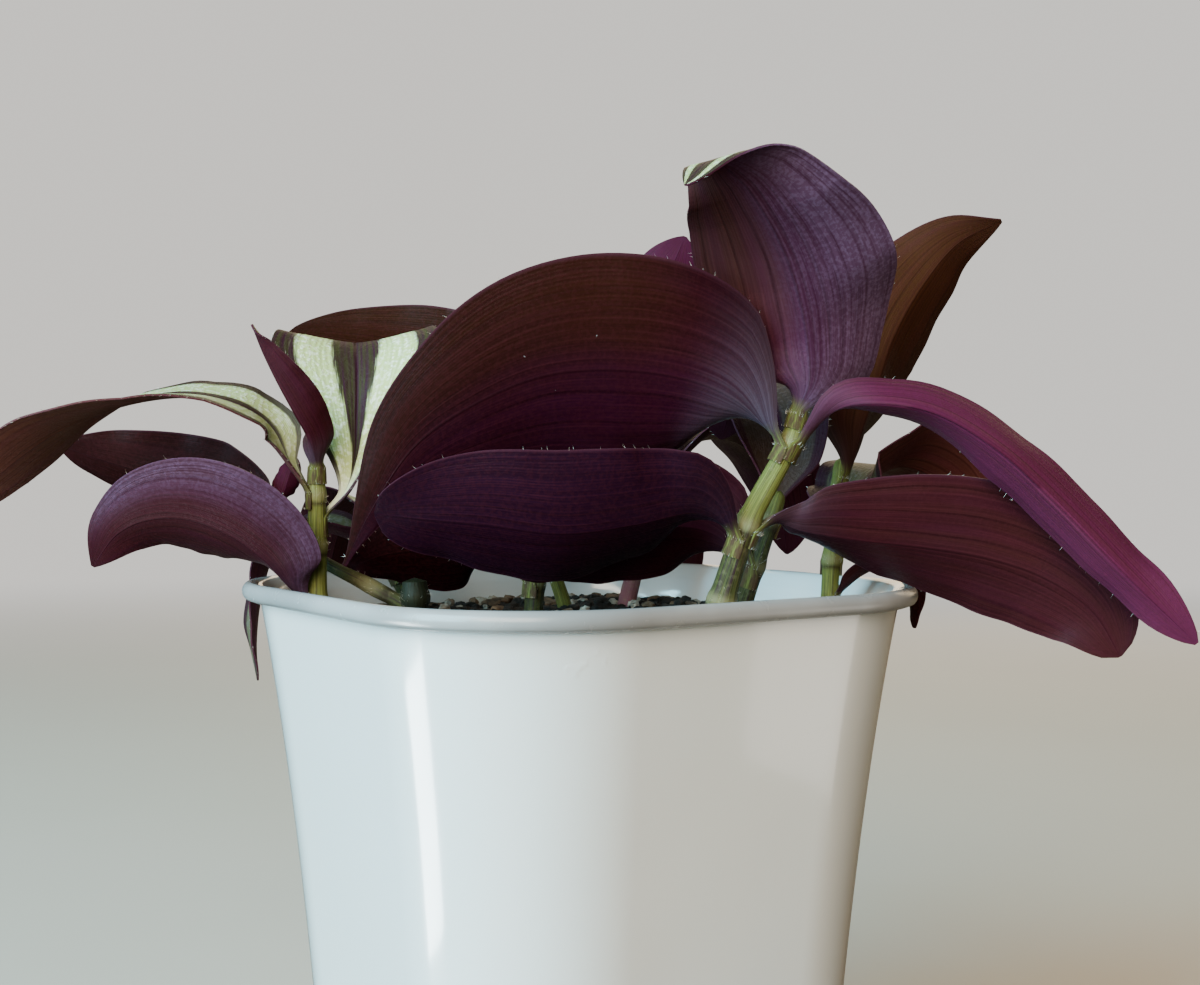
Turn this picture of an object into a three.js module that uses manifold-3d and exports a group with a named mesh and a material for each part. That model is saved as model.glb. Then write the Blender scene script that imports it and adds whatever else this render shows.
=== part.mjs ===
// A tradescantia house plant in a soft-square white pot.
// Millimetres, +Z up, origin at the middle of the pot's foot. The pot's flats face X and Y.
import * as THREE from 'three';
import { mergeVertices } from 'three/addons/utils/BufferGeometryUtils.js';
import Module from 'manifold-3d';

const wasm = await Module();
wasm.setup();

// Pot, measured across its flats
const potHeight = 108;
const lipHalf = 52.5; // half width at the crest of the lip
const footHalf = 39.6; // half width at the foot
const wallLean = 0.075; // how far the wall leans out per mm of height
const flare = 3.1; // what the wall gains on top of that lean by the time it meets the lip
const flarePower = 3;
const wallThickness = 2;
const floorThickness = 3;
const lipHeight = 3.4;
const lipBulge = 1; // how far the rolled lip stands out past its crest
// The rolled lip from its lower edge to its crest: shares of lipBulge outwards and of lipHeight down
const lipSection = [[0.6, 0.85], [1, 0.45], [0.6, 0.12], [0, 0]];
const lipFlat = 1.4; // the gently sloping top of the lip, inside its crest
const lipDip = 0.3; // how far that top falls towards the soil
const footRound = 1.5;
const cornerShare = 0.297; // corner radius as a share of the width across flats
const potSides = 48;
const wallSteps = 8;

// Soil
const soilLevel = 100;
const fitGap = 0.3; // clearance between pieces that touch
const soilRings = 7;
const soilLump = 0.9;
// Waves of the soil's surface, in radians a mm along X and Y
const broadWave = { x: 0.31, y: 0.27, shift: 1.3 };
const smallWave = { x: 0.4, y: 0.53, share: 0.6 };
const lumpyShare = 0.87; // the soil lies flat further out than this share of its half width

// The plant is laid out as it is looked at, X to the right and Y away, then turned with the pot.
const plantTurn = -34.2;

// Stems run from the buried end to the tip. thick and thin are their diameters at the two ends,
// and joints are the heights of the swollen rings where the leaves sit.
const stemSides = 8;
const stemStep = 3.5;
const jointSwell = 0.2;
const jointReach = 1.4;
const jointClear = 0.35; // a ring nearer to a joint than this share of a step is left out
const heightHalvings = 24; // turns of the search for a height on a stem
const stems = {
  front_right: {
    points: [[16, -30, 84], [22, -31, 98], [29, -32, 119.5], [36, -32, 133], [38, -32, 140]],
    thick: 5.4, thin: 3, joints: [107, 119.5, 133],
  },
  inner_right: {
    points: [[24, -16, 84], [28, -18, 100], [32, -19, 113], [36, -19, 125]],
    thick: 4.2, thin: 2.8, joints: [112, 120],
  },
  right: {
    points: [[44, -1, 84], [47, 0, 99], [48, 1, 113], [50, 2, 131]],
    thick: 3.8, thin: 2.8, joints: [112, 124],
  },
  front_left: {
    points: [[-44, -6, 84], [-46, -7, 100], [-46, -8, 115], [-46, -8, 131]],
    thick: 4.5, thin: 2.8, joints: [104.5, 115, 124],
  },
  stub_left: {
    points: [[-27, -12, 84], [-27.5, -12, 98], [-28, -12, 109.5]],
    thick: 5.4, thin: 4.4, joints: [106],
  },
  creeper: {
    points: [[-19, -6, 92], [-28, -5, 102], [-37, -2, 107], [-45, 2, 110.5], [-52, 4, 114.5],
      [-58, 5.5, 123]],
    thick: 3, thin: 2, joints: [107, 116],
  },
  middle: {
    points: [[-9, 9, 84], [-8, 10, 100], [-7, 11, 118], [-8, 12, 138]],
    thick: 4.2, thin: 2.8, joints: [107, 117, 128, 134],
  },
  back: {
    points: [[0, 30, 84], [-2, 31, 99], [-6, 31, 112], [-9, 33, 128]],
    thick: 3.4, thin: 2.4, joints: [110, 122],
  },
  back_right: {
    points: [[8, 31, 84], [10, 32, 99], [14, 32, 116], [18, 33, 136]],
    thick: 4.2, thin: 2.8, joints: [112, 124, 132],
  },
  back_left: {
    points: [[-30, 18, 84], [-32, 20, 99], [-36, 21, 110], [-38, 22, 123]],
    thick: 4, thin: 2.8, joints: [108, 117],
  },
};

// Leaves. node is the height on the stem where the sheath ends and side the heading of the stem's
// side that the midrib runs up. spine is the midrib past the sheath, and faces the headings and rises
// of the way that the upper side looks, from neck to tip. Heading 0 is right, 90 away, 180 left.
// fold and cup are the angles at the midrib and on to the edges, from neck to tip.
const leafThickness = 0.8;
const sheathGap = 0.55;
const sheathRows = 2;
const bladeRows = 11;
const acrossLeaf = [-1, -0.66, -0.32, 0, 0.32, 0.66, 1];
const neckShare = 0.16; // the part of a blade in which it widens out from the sheath
const unrollShare = 0.256; // the part in which it unrolls from the stem's round to its own fold and cup
const neckDraw = 0.75; // how much narrower than the sheath a blade starts
const mouthWrap = 70; // how far round the stem the top of a sheath reaches at most, each way
const flatBend = 0.01; // a row bent less than this is drawn flat
const tipHalf = 0.35; // half width left at the very tip
const tipShare = 0.8; // past this share of a blade it flattens towards the tip
// Powers of a blade's outline. A larger first one moves the widest place towards the tip, and a larger
// second one draws the tip out. A leaf may have its own, called wide and point.
const widestPower = 0.62;
const pointPower = 0.78;
const leaves = {
  front_right_1: {
    stem: 'front_right', node: 117, side: 205, sheath: 3, wrap: 75, width: 27, wide: 0.42, point: 0.5,
    spine: [[24, -34.5, 120.5], [20, -36, 121.8], [11, -38, 120], [-1, -40.5, 118.5], [-14, -41, 120],
      [-31, -39, 121.5]],
    faces: [[50, 40], [88, 40], [95, 34], [92, 32], [90, 34], [85, 36]],
    fold: [15, 12, 10, 8], cup: [20, 15, 15, 15],
  },
  front_right_2: {
    stem: 'front_right', node: 132, side: 190, sheath: 3, wrap: 75, width: 37, wide: 0.8, point: 1.55,
    spine: [[31, -34, 136.5], [26.5, -36, 140], [20, -37, 142.8], [8, -38, 144.5], [-4, -39, 143.5],
      [-15, -39, 139], [-24.5, -38, 132.5], [-31.5, -37, 122.5], [-36.5, -35, 113]],
    faces: [[100, 28], [95, 24], [90, 24], [90, 16], [100, 10]], fold: [14, 3, 2, 2], cup: [18, 12, 15, 20],
  },
  front_right_3: {
    stem: 'front_right', node: 133, side: 340, sheath: 3, wrap: 70, width: 15, wide: 0.85,
    spine: [[40.5, -36, 136.5], [43, -39, 138.5], [48, -42, 139], [56.5, -44, 137.5], [66, -47, 131.5],
      [75, -48, 123], [84, -49, 113.5], [96, -49, 102]],
    faces: [[85, 15], [80, 5], [70, 0], [60, 0]], fold: [50, 55, 50, 35], cup: [15, 10, 10, 10],
  },
  front_right_4: {
    stem: 'front_right', node: 137.5, side: 250, sheath: 2.5, wrap: 75, width: 33.5, wide: 0.42, point: 0.9,
    spine: [[38.5, -35, 142], [38.5, -34, 148.5], [37, -36.5, 155.5], [34, -41.5, 162.5], [30, -47.5, 168],
      [26, -53, 171.8], [21.5, -57.5, 173.6], [17.3, -61, 169.5]],
    faces: [[100, 5], [92, 8], [78, 16], [74, 26], [75, 40], [110, 62], [215, 55], [235, 30]],
    fold: [25, 6, 3, 0], cup: [28, 18, 8, -10],
  },
  front_right_5: {
    stem: 'front_right', node: 119, side: 5, sheath: 3, wrap: 60, width: 25, point: 0.62,
    spine: [[34, -32, 120], [38, -32, 118.8], [47, -32, 117.2], [58, -33, 116], [69, -34, 114],
      [78, -35, 110.5], [84.5, -36, 105.5], [88.5, -37, 98.5]],
    faces: [[80, 45], [85, 32], [85, 18], [80, 8]], fold: [30, 12, 8, 6], cup: [20, 15, 15, 20],
  },
  inner_right_1: {
    stem: 'inner_right', node: 112, side: 200, sheath: 4, wrap: 95, width: 27,
    spine: [[27, -19.5, 116], [22, -20, 118.5], [12, -21, 118.5], [0, -22, 116.5], [-12, -22, 112]],
    faces: [[65, 20], [90, 25], [90, 25], [90, 25]], fold: [25, 14, 10], cup: [15, 15, 15],
  },
  inner_right_2: {
    stem: 'inner_right', node: 121, side: 100, sheath: 4, wrap: 110, width: 22,
    spine: [[36, -13, 130], [35.5, -8, 138], [34, 0, 143], [32.5, 8, 144.5], [31, 17, 142], [29.5, 27, 135]],
    faces: [[280, 20], [280, 50], [270, 75], [90, 75], [90, 45]], fold: [25, 14, 8], cup: [20, 15, 15],
  },
  right_1: {
    stem: 'right', node: 113, side: 60, sheath: 4, wrap: 95, width: 27,
    spine: [[53, 7, 120], [58, 12, 127], [65, 19, 129.5], [74, 25, 126], [81, 29, 118], [86, 32, 108]],
    faces: [[60, 60], [100, 65], [100, 55], [60, 30]], fold: [25, 14, 8], cup: [20, 15, 20],
  },
  right_2: {
    stem: 'right', node: 127, side: 330, sheath: 5, wrap: 110, width: 28, point: 0.95,
    spine: [[54, 3, 137], [57, 6, 144], [61, 10, 154], [67, 13, 164], [74, 13, 172.5], [82, 11, 176.5]],
    faces: [[130, 10], [110, 15], [100, 25], [95, 45]], fold: [35, 25, 18, 10], cup: [20, 15, 15, 10],
  },
  right_3: {
    stem: 'right', node: 105.5, side: 340, sheath: 3, wrap: 80, width: 7,
    spine: [[52, -3, 109], [56, -3, 111], [60, -1, 110.8], [63, 2, 106.5], [63.8, 3, 99]],
    faces: [[20, 70], [20, 60], [20, 20]], fold: [25, 20, 15], cup: [10, 10, 10],
  },
  front_left_1: {
    stem: 'front_left', node: 104.5, side: 205, sheath: 3, wrap: 90, width: 24, point: 0.95,
    spine: [[-51, -10, 108.5], [-54, -13, 112.5], [-59.5, -15, 117], [-67, -15.5, 120], [-74, -15, 120],
      [-80, -13.5, 117.5], [-85, -12, 111.5]],
    faces: [[60, 30], [80, 35], [90, 35], [90, 35]], fold: [25, 10, 8, 6], cup: [25, 25, 25, 20],
  },
  front_left_2: {
    stem: 'front_left', node: 124.5, side: 190, sheath: 3, wrap: 60, width: 21, wide: 0.95,
    spine: [[-51, -9, 130], [-53.5, -9, 135.5], [-57.5, -11, 139], [-63, -12, 141], [-69, -13, 141.6],
      [-79, -14, 140], [-90, -15, 135.5], [-100, -16, 128], [-108, -17, 120]],
    faces: [[290, 55], [272, 78], [270, 84], [100, 80], [90, 66], [90, 60]],
    fold: [20, 8, 4, 3], cup: [10, 0, 0, 5],
  },
  front_left_3: {
    stem: 'front_left', node: 120, side: 30, sheath: 3.5, wrap: 60, width: 32, wide: 1.8, point: 0.7,
    spine: [[-41, -5, 125], [-40, -3, 130], [-40, 0, 138], [-40.5, 4, 146], [-41.5, 9, 151],
      [-42.5, 14, 153], [-44, 19.5, 152.5]],
    faces: [[255, 20], [265, 25], [265, 50], [270, 75], [90, 75]],
    fold: [30, 20, 12, 8], cup: [25, 20, 10, 10],
  },
  front_left_4: {
    stem: 'front_left', node: 129, side: 280, sheath: 3, wrap: 80, width: 11, wide: 0.5, point: 0.95,
    spine: [[-46.5, -12, 134], [-48.5, -13, 138], [-52, -14, 145], [-56, -15, 154]],
    faces: [[50, 10], [20, 20], [0, 30]], fold: [50, 62, 50], cup: [20, 10, 10],
  },
  creeper_1: {
    stem: 'creeper', node: 117, side: 200, sheath: 3, wrap: 60, width: 19,
    spine: [[-61.5, 6, 122], [-68, 10, 125], [-76, 12, 126.5], [-84, 12, 128.5], [-92, 12, 131],
      [-99.5, 12, 133.5]],
    faces: [[90, 35], [90, 35], [90, 30]], fold: [25, 12, 8], cup: [15, 15, 10],
  },
  creeper_2: {
    stem: 'creeper', node: 121, side: 350, sheath: 1.5, wrap: 60, width: 5,
    spine: [[-54.5, 5, 125], [-53.5, 5, 128], [-52.5, 5, 131]],
    faces: [[90, 40], [90, 30]], fold: [20, 15], cup: [20, 25],
  },
  middle_1: {
    stem: 'middle', node: 134, side: 175, sheath: 4, wrap: 80, width: 26,
    spine: [[-12.5, 14, 140], [-19, 20, 145.5], [-28, 26, 148.5], [-39, 28, 151], [-50, 28, 154],
      [-58.5, 28, 156.5]],
    faces: [[90, 20], [90, 30], [90, 30], [90, 20]], fold: [25, 12, 8], cup: [15, 15, 15],
  },
  middle_2: {
    stem: 'middle', node: 126, side: 50, sheath: 4, wrap: 110, width: 18,
    spine: [[-3, 17, 131], [-1, 25, 136], [2, 36, 139], [4, 47, 138], [5, 57, 132], [6, 64, 124]],
    faces: [[240, 50], [250, 75], [80, 80], [75, 60], [75, 35]], fold: [25, 14, 8], cup: [15, 15, 15],
  },
  middle_3: {
    stem: 'middle', node: 117, side: 130, sheath: 4, wrap: 110, width: 20,
    spine: [[-13, 16, 123.5], [-19, 22, 126], [-25, 31, 126.5], [-29, 41, 123], [-31, 49, 116],
      [-32, 54, 107]],
    faces: [[330, 50], [330, 75], [120, 80], [120, 60], [120, 35]], fold: [25, 14, 8], cup: [15, 15, 15],
  },
  middle_4: {
    stem: 'middle', node: 107, side: 200, sheath: 3, wrap: 80, width: 21,
    spine: [[-13, 8.5, 111], [-18, 7, 113.5], [-28, 6.5, 113.5], [-36, 7.5, 112.5], [-43, 10, 110]],
    faces: [[50, 15], [85, 20], [90, 20], [90, 20]], fold: [25, 12, 8], cup: [15, 10, 15],
  },
  back_1: {
    stem: 'back', node: 124, side: 120, sheath: 4, wrap: 110, width: 22,
    spine: [[-11, 41, 131], [-14, 49, 135], [-17, 61, 136], [-19, 73, 131], [-20, 83, 122], [-20, 90, 111]],
    faces: [[300, 60], [300, 80], [110, 80], [110, 60], [110, 30]], fold: [25, 14, 8], cup: [15, 15, 15],
  },
  back_2: {
    stem: 'back', node: 112, side: 50, sheath: 4, wrap: 110, width: 25,
    spine: [[-2, 38, 117], [2, 45, 120], [9, 55, 121], [16, 65, 117], [22, 72, 109], [25, 77, 99]],
    faces: [[230, 60], [230, 80], [50, 80], [50, 60], [50, 30]], fold: [25, 14, 8], cup: [15, 15, 15],
  },
  back_right_1: {
    stem: 'back_right', node: 134, side: 230, sheath: 4, wrap: 95, width: 23,
    spine: [[18, 30, 141], [18.5, 28, 149], [18, 26, 159], [19, 25, 168], [22, 24, 175.5]],
    faces: [[80, 5], [85, 10], [90, 15], [90, 10]], fold: [25, 14, 8], cup: [20, 15, 10],
  },
  back_right_2: {
    stem: 'back_right', node: 125, side: 40, sheath: 4, wrap: 110, width: 28,
    spine: [[21, 37, 131], [26, 43, 135], [35, 52, 135], [42, 62, 129], [47, 70, 120], [49, 76, 109]],
    faces: [[230, 60], [240, 80], [50, 80], [50, 60], [50, 30]], fold: [25, 14, 8], cup: [15, 15, 15],
  },
  back_left_1: {
    stem: 'back_left', node: 109, side: 200, sheath: 3, wrap: 95, width: 15,
    spine: [[-42, 22, 113], [-48, 23, 116], [-55, 25, 116.5], [-61, 26, 112], [-64, 26, 103], [-65, 26, 94],
      [-64.5, 26, 86]],
    faces: [[180, 70], [180, 70], [190, 40], [200, 5], [200, 0]], fold: [25, 14, 10], cup: [15, 15, 15],
  },
  back_left_2: {
    stem: 'back_left', node: 118, side: 100, sheath: 4, wrap: 110, width: 18,
    spine: [[-41, 28, 121], [-45, 34, 122], [-50, 43, 118], [-54, 51, 109], [-56, 57, 99]],
    faces: [[290, 60], [300, 80], [120, 80], [120, 60], [120, 30]], fold: [25, 14, 8], cup: [15, 15, 15],
  },
};

const colours = {
  pot: { color: 0xe6eceb, roughness: 0.22, metalness: 0 },
  soil: { color: 0x1f1712, roughness: 0.95, metalness: 0 },
  stem: { color: 0x7f8f4a, roughness: 0.5, metalness: 0 },
  leaf: { color: 0x4a1636, roughness: 0.45, metalness: 0 },
};

const up = new THREE.Vector3(0, 0, 1);
const mergeReach = 1e-4; // points nearer to each other than this are one point
const radians = THREE.MathUtils.degToRad;
const smooth = THREE.MathUtils.smoothstep;
const lerp = THREE.MathUtils.lerp;

// A point of the plant's layout, turned into the pot's frame
function place([x, y, z]) {
  return new THREE.Vector3(x, y, z).applyAxisAngle(up, radians(plantTurn));
}

// A direction given by its heading and its rise
function direction(heading, rise = 0) {
  const flat = Math.cos(radians(rise));
  const turned = radians(heading);
  return place([flat * Math.cos(turned), flat * Math.sin(turned), Math.sin(radians(rise))]);
}

// A value spread evenly along a list, blended between its entries
function along(values, t) {
  const spot = t * (values.length - 1);
  const index = Math.min(Math.floor(spot), values.length - 2);
  return lerp(values[index], values[index + 1], spot - index);
}

function alongVectors(vectors, t) {
  const spot = t * (vectors.length - 1);
  const index = Math.min(Math.floor(spot), vectors.length - 2);
  return vectors[index].clone().lerp(vectors[index + 1], spot - index).normalize();
}

function closedGeometry(points, triangles) {
  const geometry = new THREE.BufferGeometry();
  geometry.setAttribute('position', new THREE.Float32BufferAttribute(points.flatMap((p) => p.toArray()), 3));
  geometry.setIndex(triangles);
  return geometry;
}

function toSolid(geometry) {
  const bare = geometry.clone();
  bare.deleteAttribute('normal');
  bare.deleteAttribute('uv');
  const merged = mergeVertices(bare, mergeReach);
  return new wasm.Manifold(new wasm.Mesh({
    numProp: 3,
    vertProperties: Float32Array.from(merged.attributes.position.array),
    triVerts: Uint32Array.from(merged.index.array),
  }));
}

function toGeometry(solid) {
  const mesh = solid.getMesh();
  const geometry = new THREE.BufferGeometry();
  geometry.setAttribute('position', new THREE.BufferAttribute(mesh.vertProperties, 3));
  geometry.setIndex(new THREE.BufferAttribute(mesh.triVerts, 1));
  return geometry;
}

// How much further out the soft square lies than the circle inside it, at an angle from a flat
function squareReach(angle) {
  const radius = 2 * cornerShare;
  const corner = 1 - radius;
  const quarter = Math.PI / 2;
  const folded = Math.abs(angle - quarter * Math.round(angle / quarter));
  if (Math.tan(folded) <= corner) {
    return 1 / Math.cos(folded);
  }
  const reach = corner * (Math.cos(folded) + Math.sin(folded));
  return reach + Math.sqrt(reach * reach - 2 * corner * corner + radius * radius);
}

// A profile of half widths and heights, carried round the soft square
function softSquare(profile) {
  const geometry = new THREE.LatheGeometry(profile.map(([x, y]) => new THREE.Vector2(x, y)), potSides);
  geometry.rotateX(Math.PI / 2);
  const spots = geometry.attributes.position;
  for (let i = 0; i < spots.count; i += 1) {
    const reach = squareReach(Math.atan2(spots.getY(i), spots.getX(i)));
    spots.setX(i, spots.getX(i) * reach);
    spots.setY(i, spots.getY(i) * reach);
  }
  return geometry;
}

// Outer half width of the wall at a height
function wallHalf(height) {
  const share = height / (potHeight - lipHeight);
  return footHalf + wallLean * height + flare * share ** flarePower;
}

function potShell() {
  const wallTop = potHeight - lipHeight;
  const profile = [[0, 0], [footHalf - footRound, 0], [wallHalf(footRound), footRound]];
  for (let step = 1; step <= wallSteps; step += 1) {
    const height = lerp(footRound, wallTop, step / wallSteps);
    profile.push([wallHalf(height), height]);
  }
  for (const [out, down] of lipSection) {
    profile.push([lipHalf + lipBulge * out, potHeight - lipHeight * down]);
  }
  profile.push([lipHalf - lipFlat, potHeight - lipDip]);
  for (let step = wallSteps; step >= 1; step -= 1) {
    const height = lerp(floorThickness, wallTop, step / wallSteps);
    profile.push([wallHalf(height) - wallThickness, height]);
  }
  profile.push([wallHalf(floorThickness) - wallThickness, floorThickness]);
  profile.push([0, floorThickness]);
  return toSolid(softSquare(profile));
}

// Lumps of the soil's surface: broad ones 20 to 23 mm apart and smaller slanting ones among them
function lumps(x, y) {
  const broad = Math.sin(broadWave.x * x + broadWave.shift) * Math.cos(broadWave.y * y);
  const small = Math.sin(smallWave.y * y + smallWave.x * x);
  return soilLump * (broad + smallWave.share * small);
}

function soilFill() {
  const bottom = floorThickness + fitGap;
  const inner = (height) => wallHalf(height) - wallThickness - fitGap;
  const profile = [[0, bottom]];
  for (let step = 0; step <= wallSteps; step += 1) {
    const height = lerp(bottom, soilLevel, step / wallSteps);
    profile.push([inner(height), height]);
  }
  for (let ring = soilRings - 1; ring > 0; ring -= 1) {
    profile.push([inner(soilLevel) * ring / soilRings, soilLevel]);
  }
  profile.push([0, soilLevel]);
  const geometry = softSquare(profile);
  const spots = geometry.attributes.position;
  const edge = inner(soilLevel) * lumpyShare;
  for (let i = 0; i < spots.count; i += 1) {
    const [x, y, z] = [spots.getX(i), spots.getY(i), spots.getZ(i)];
    if (z > soilLevel - fitGap && Math.max(Math.abs(x), Math.abs(y)) < edge) {
      spots.setZ(i, z + lumps(x, y));
    }
  }
  return toSolid(geometry);
}

function stemCurve(stem) {
  return new THREE.CatmullRomCurve3(stem.points.map(place), false, 'centripetal');
}

// Where on a stem's curve a height is reached
function spotAtHeight(curve, height) {
  let low = 0;
  let high = 1;
  for (let turn = 0; turn < heightHalvings; turn += 1) {
    const middle = (low + high) / 2;
    if (curve.getPointAt(middle).z < height) {
      low = middle;
    } else {
      high = middle;
    }
  }
  return low;
}

// Radius of a stem at a share of its length
function stemRadius(stem, curve, share) {
  const here = curve.getPointAt(share).z;
  const swell = stem.joints.reduce((sum, z) => sum + Math.exp(-(((here - z) / jointReach) ** 2)), 0);
  return 0.5 * lerp(stem.thick, stem.thin, share) * (1 + jointSwell * swell);
}

// A tube along a stem, made fatter by grow. Its ends are closed by flat faces.
function stemTube(stem, grow) {
  const curve = stemCurve(stem);
  const stops = stem.joints.map((z) => spotAtHeight(curve, z));
  const steps = Math.ceil(curve.getLength() / stemStep);
  for (let step = 0; step <= steps; step += 1) {
    const atEnd = step === 0 || step === steps;
    const nearJoint = stops.some((stop) => Math.abs(stop * steps - step) < jointClear);
    if (atEnd || !nearJoint) {
      stops.push(step / steps);
    }
  }
  stops.sort((a, b) => a - b);
  const points = [];
  const triangles = [];
  let sideways = direction(0);
  for (const stop of stops) {
    const ahead = curve.getTangentAt(stop);
    sideways = sideways.clone().addScaledVector(ahead, -sideways.dot(ahead)).normalize();
    const other = ahead.clone().cross(sideways);
    const centre = curve.getPointAt(stop);
    const radius = stemRadius(stem, curve, stop) + grow;
    for (let side = 0; side < stemSides; side += 1) {
      const angle = 2 * Math.PI * side / stemSides;
      points.push(centre.clone()
        .addScaledVector(sideways, radius * Math.cos(angle))
        .addScaledVector(other, radius * Math.sin(angle)));
    }
  }
  for (let ring = 0; ring < stops.length - 1; ring += 1) {
    for (let side = 0; side < stemSides; side += 1) {
      const a = ring * stemSides + side;
      const b = ring * stemSides + (side + 1) % stemSides;
      triangles.push(a, b, b + stemSides, a, b + stemSides, a + stemSides);
    }
  }
  const last = (stops.length - 1) * stemSides;
  for (let side = 1; side < stemSides - 1; side += 1) {
    triangles.push(0, side + 1, side, last, last + side, last + side + 1);
  }
  return closedGeometry(points, triangles);
}

// Half width of a blade at a share of its length
function bladeHalf(leaf, t) {
  const wide = leaf.wide ?? widestPower;
  const point = leaf.point ?? pointPower;
  const peak = wide / (wide + point);
  const highest = peak ** wide * (1 - peak) ** point;
  return 0.5 * leaf.width * t ** wide * (1 - t) ** point / highest + tipHalf * t;
}

// Rows of points over a leaf's middle surface, from the foot of its sheath to its tip
function leafRows(leaf) {
  const stem = stems[leaf.stem];
  const bearer = stemCurve(stem);
  const side = direction(leaf.side);
  const thickness = leafThickness / 2;
  const top = spotAtHeight(bearer, leaf.node);
  const foot = top - leaf.sheath / bearer.getLength();
  const onStem = (share) => {
    const ahead = bearer.getTangentAt(share);
    const out = side.clone().addScaledVector(ahead, -side.dot(ahead)).normalize();
    const radius = stemRadius(stem, bearer, share) + sheathGap + thickness;
    return { centre: bearer.getPointAt(share), out, ahead, radius };
  };
  const rows = [];
  const wrap = radians(leaf.wrap);
  const sheathTop = onStem(top);
  for (let row = 0; row <= sheathRows; row += 1) {
    const share = lerp(foot, top, row / sheathRows);
    const ring = onStem(share);
    const opening = row === sheathRows ? Math.min(wrap, radians(mouthWrap)) : wrap;
    const radius = Math.max(ring.radius, sheathTop.radius);
    rows.push({
      middle: ring.centre.clone().addScaledVector(ring.out, radius),
      ahead: ring.ahead, face: ring.out.clone().negate(), half: radius * opening, bend: opening, fold: 0,
    });
  }
  const start = rows[rows.length - 1];
  const before = rows[rows.length - 2];
  const spine = new THREE.CatmullRomCurve3(
    [before.middle, start.middle, ...leaf.spine.map(place)], false, 'centripetal');
  const skip = before.middle.distanceTo(start.middle) / spine.getLength();
  const faces = [start.face, ...leaf.faces.map(([heading, rise]) => direction(heading, rise))];
  for (let row = 1; row <= bladeRows; row += 1) {
    const t = row / bladeRows;
    const spot = lerp(skip, 1, t);
    const ahead = spine.getTangentAt(spot);
    const look = alongVectors(faces, t);
    const face = look.addScaledVector(ahead, -look.dot(ahead)).normalize();
    const open = smooth(t, 0, unrollShare);
    const flatten = 1 - smooth(t, tipShare, 1);
    rows.push({
      middle: spine.getPointAt(spot), ahead, face,
      half: lerp(start.half * neckDraw, bladeHalf(leaf, t), smooth(t, 0, neckShare)),
      bend: lerp(start.bend, radians(along(leaf.cup, t)), open) * flatten,
      fold: radians(along(leaf.fold, t)) * open * flatten,
    });
  }
  return rows;
}

// The point of a row at a share of its half width, and the upper side's way there
function acrossRow(row, share) {
  const reach = Math.abs(share) * row.half;
  const turn = Math.abs(share) * row.bend;
  const curl = Math.abs(row.bend) > flatBend ? row.half / row.bend : 0;
  const flat = curl ? curl * Math.sin(turn) : reach;
  const lift = curl ? curl * (1 - Math.cos(turn)) : 0;
  const out = flat * Math.cos(row.fold) - lift * Math.sin(row.fold);
  const rise = flat * Math.sin(row.fold) + lift * Math.cos(row.fold);
  const sideways = row.ahead.clone().cross(row.face).multiplyScalar(Math.sign(share));
  const lean = share === 0 ? 0 : turn + row.fold;
  const point = row.middle.clone().addScaledVector(sideways, out).addScaledVector(row.face, rise);
  const way = row.face.clone().multiplyScalar(Math.cos(lean)).addScaledVector(sideways, -Math.sin(lean));
  return { point, way };
}

function leafBlade(leaf) {
  const rows = leafRows(leaf);
  const columns = acrossLeaf.length;
  const count = rows.length * columns;
  const upper = [];
  const lower = [];
  for (const row of rows) {
    for (const share of acrossLeaf) {
      const { point, way } = acrossRow(row, share);
      upper.push(point.clone().addScaledVector(way, leafThickness / 2));
      lower.push(point.clone().addScaledVector(way, -leafThickness / 2));
    }
  }
  const triangles = [];
  const wall = (a, b) => triangles.push(a, b, b + count, a, b + count, a + count);
  for (let r = 0; r < rows.length - 1; r += 1) {
    for (let c = 0; c < columns - 1; c += 1) {
      const a = r * columns + c;
      const [b, d, e] = [a + 1, a + columns, a + columns + 1];
      triangles.push(a, e, b, a, d, e);
      triangles.push(a + count, b + count, e + count, a + count, e + count, d + count);
    }
    wall((r + 1) * columns, r * columns);
    wall((r + 1) * columns - 1, (r + 2) * columns - 1);
  }
  const last = (rows.length - 1) * columns;
  for (let c = 0; c < columns - 1; c += 1) {
    wall(c, c + 1);
    wall(last + c + 1, last + c);
  }
  return closedGeometry([...upper, ...lower], triangles.reverse());
}

const plant = new THREE.Group();

function add(name, geometry, colour) {
  const mesh = new THREE.Mesh(geometry, new THREE.MeshStandardMaterial(colour));
  mesh.name = name;
  plant.add(mesh);
}

let soil = soilFill();
for (const [name, stem] of Object.entries(stems)) {
  const hole = toSolid(stemTube(stem, fitGap));
  soil = soil.subtract(hole);
  add(`stem_${name}`, stemTube(stem, 0), colours.stem);
}
for (const [name, leaf] of Object.entries(leaves)) {
  add(`leaf_${name}`, leafBlade(leaf), colours.leaf);
}
add('pot', toGeometry(potShell()), colours.pot);
add('soil', toGeometry(soil), colours.soil);

export default plant;
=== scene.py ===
import math
import random

import bpy
import numpy as np
from mathutils import Matrix, Vector


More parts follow.
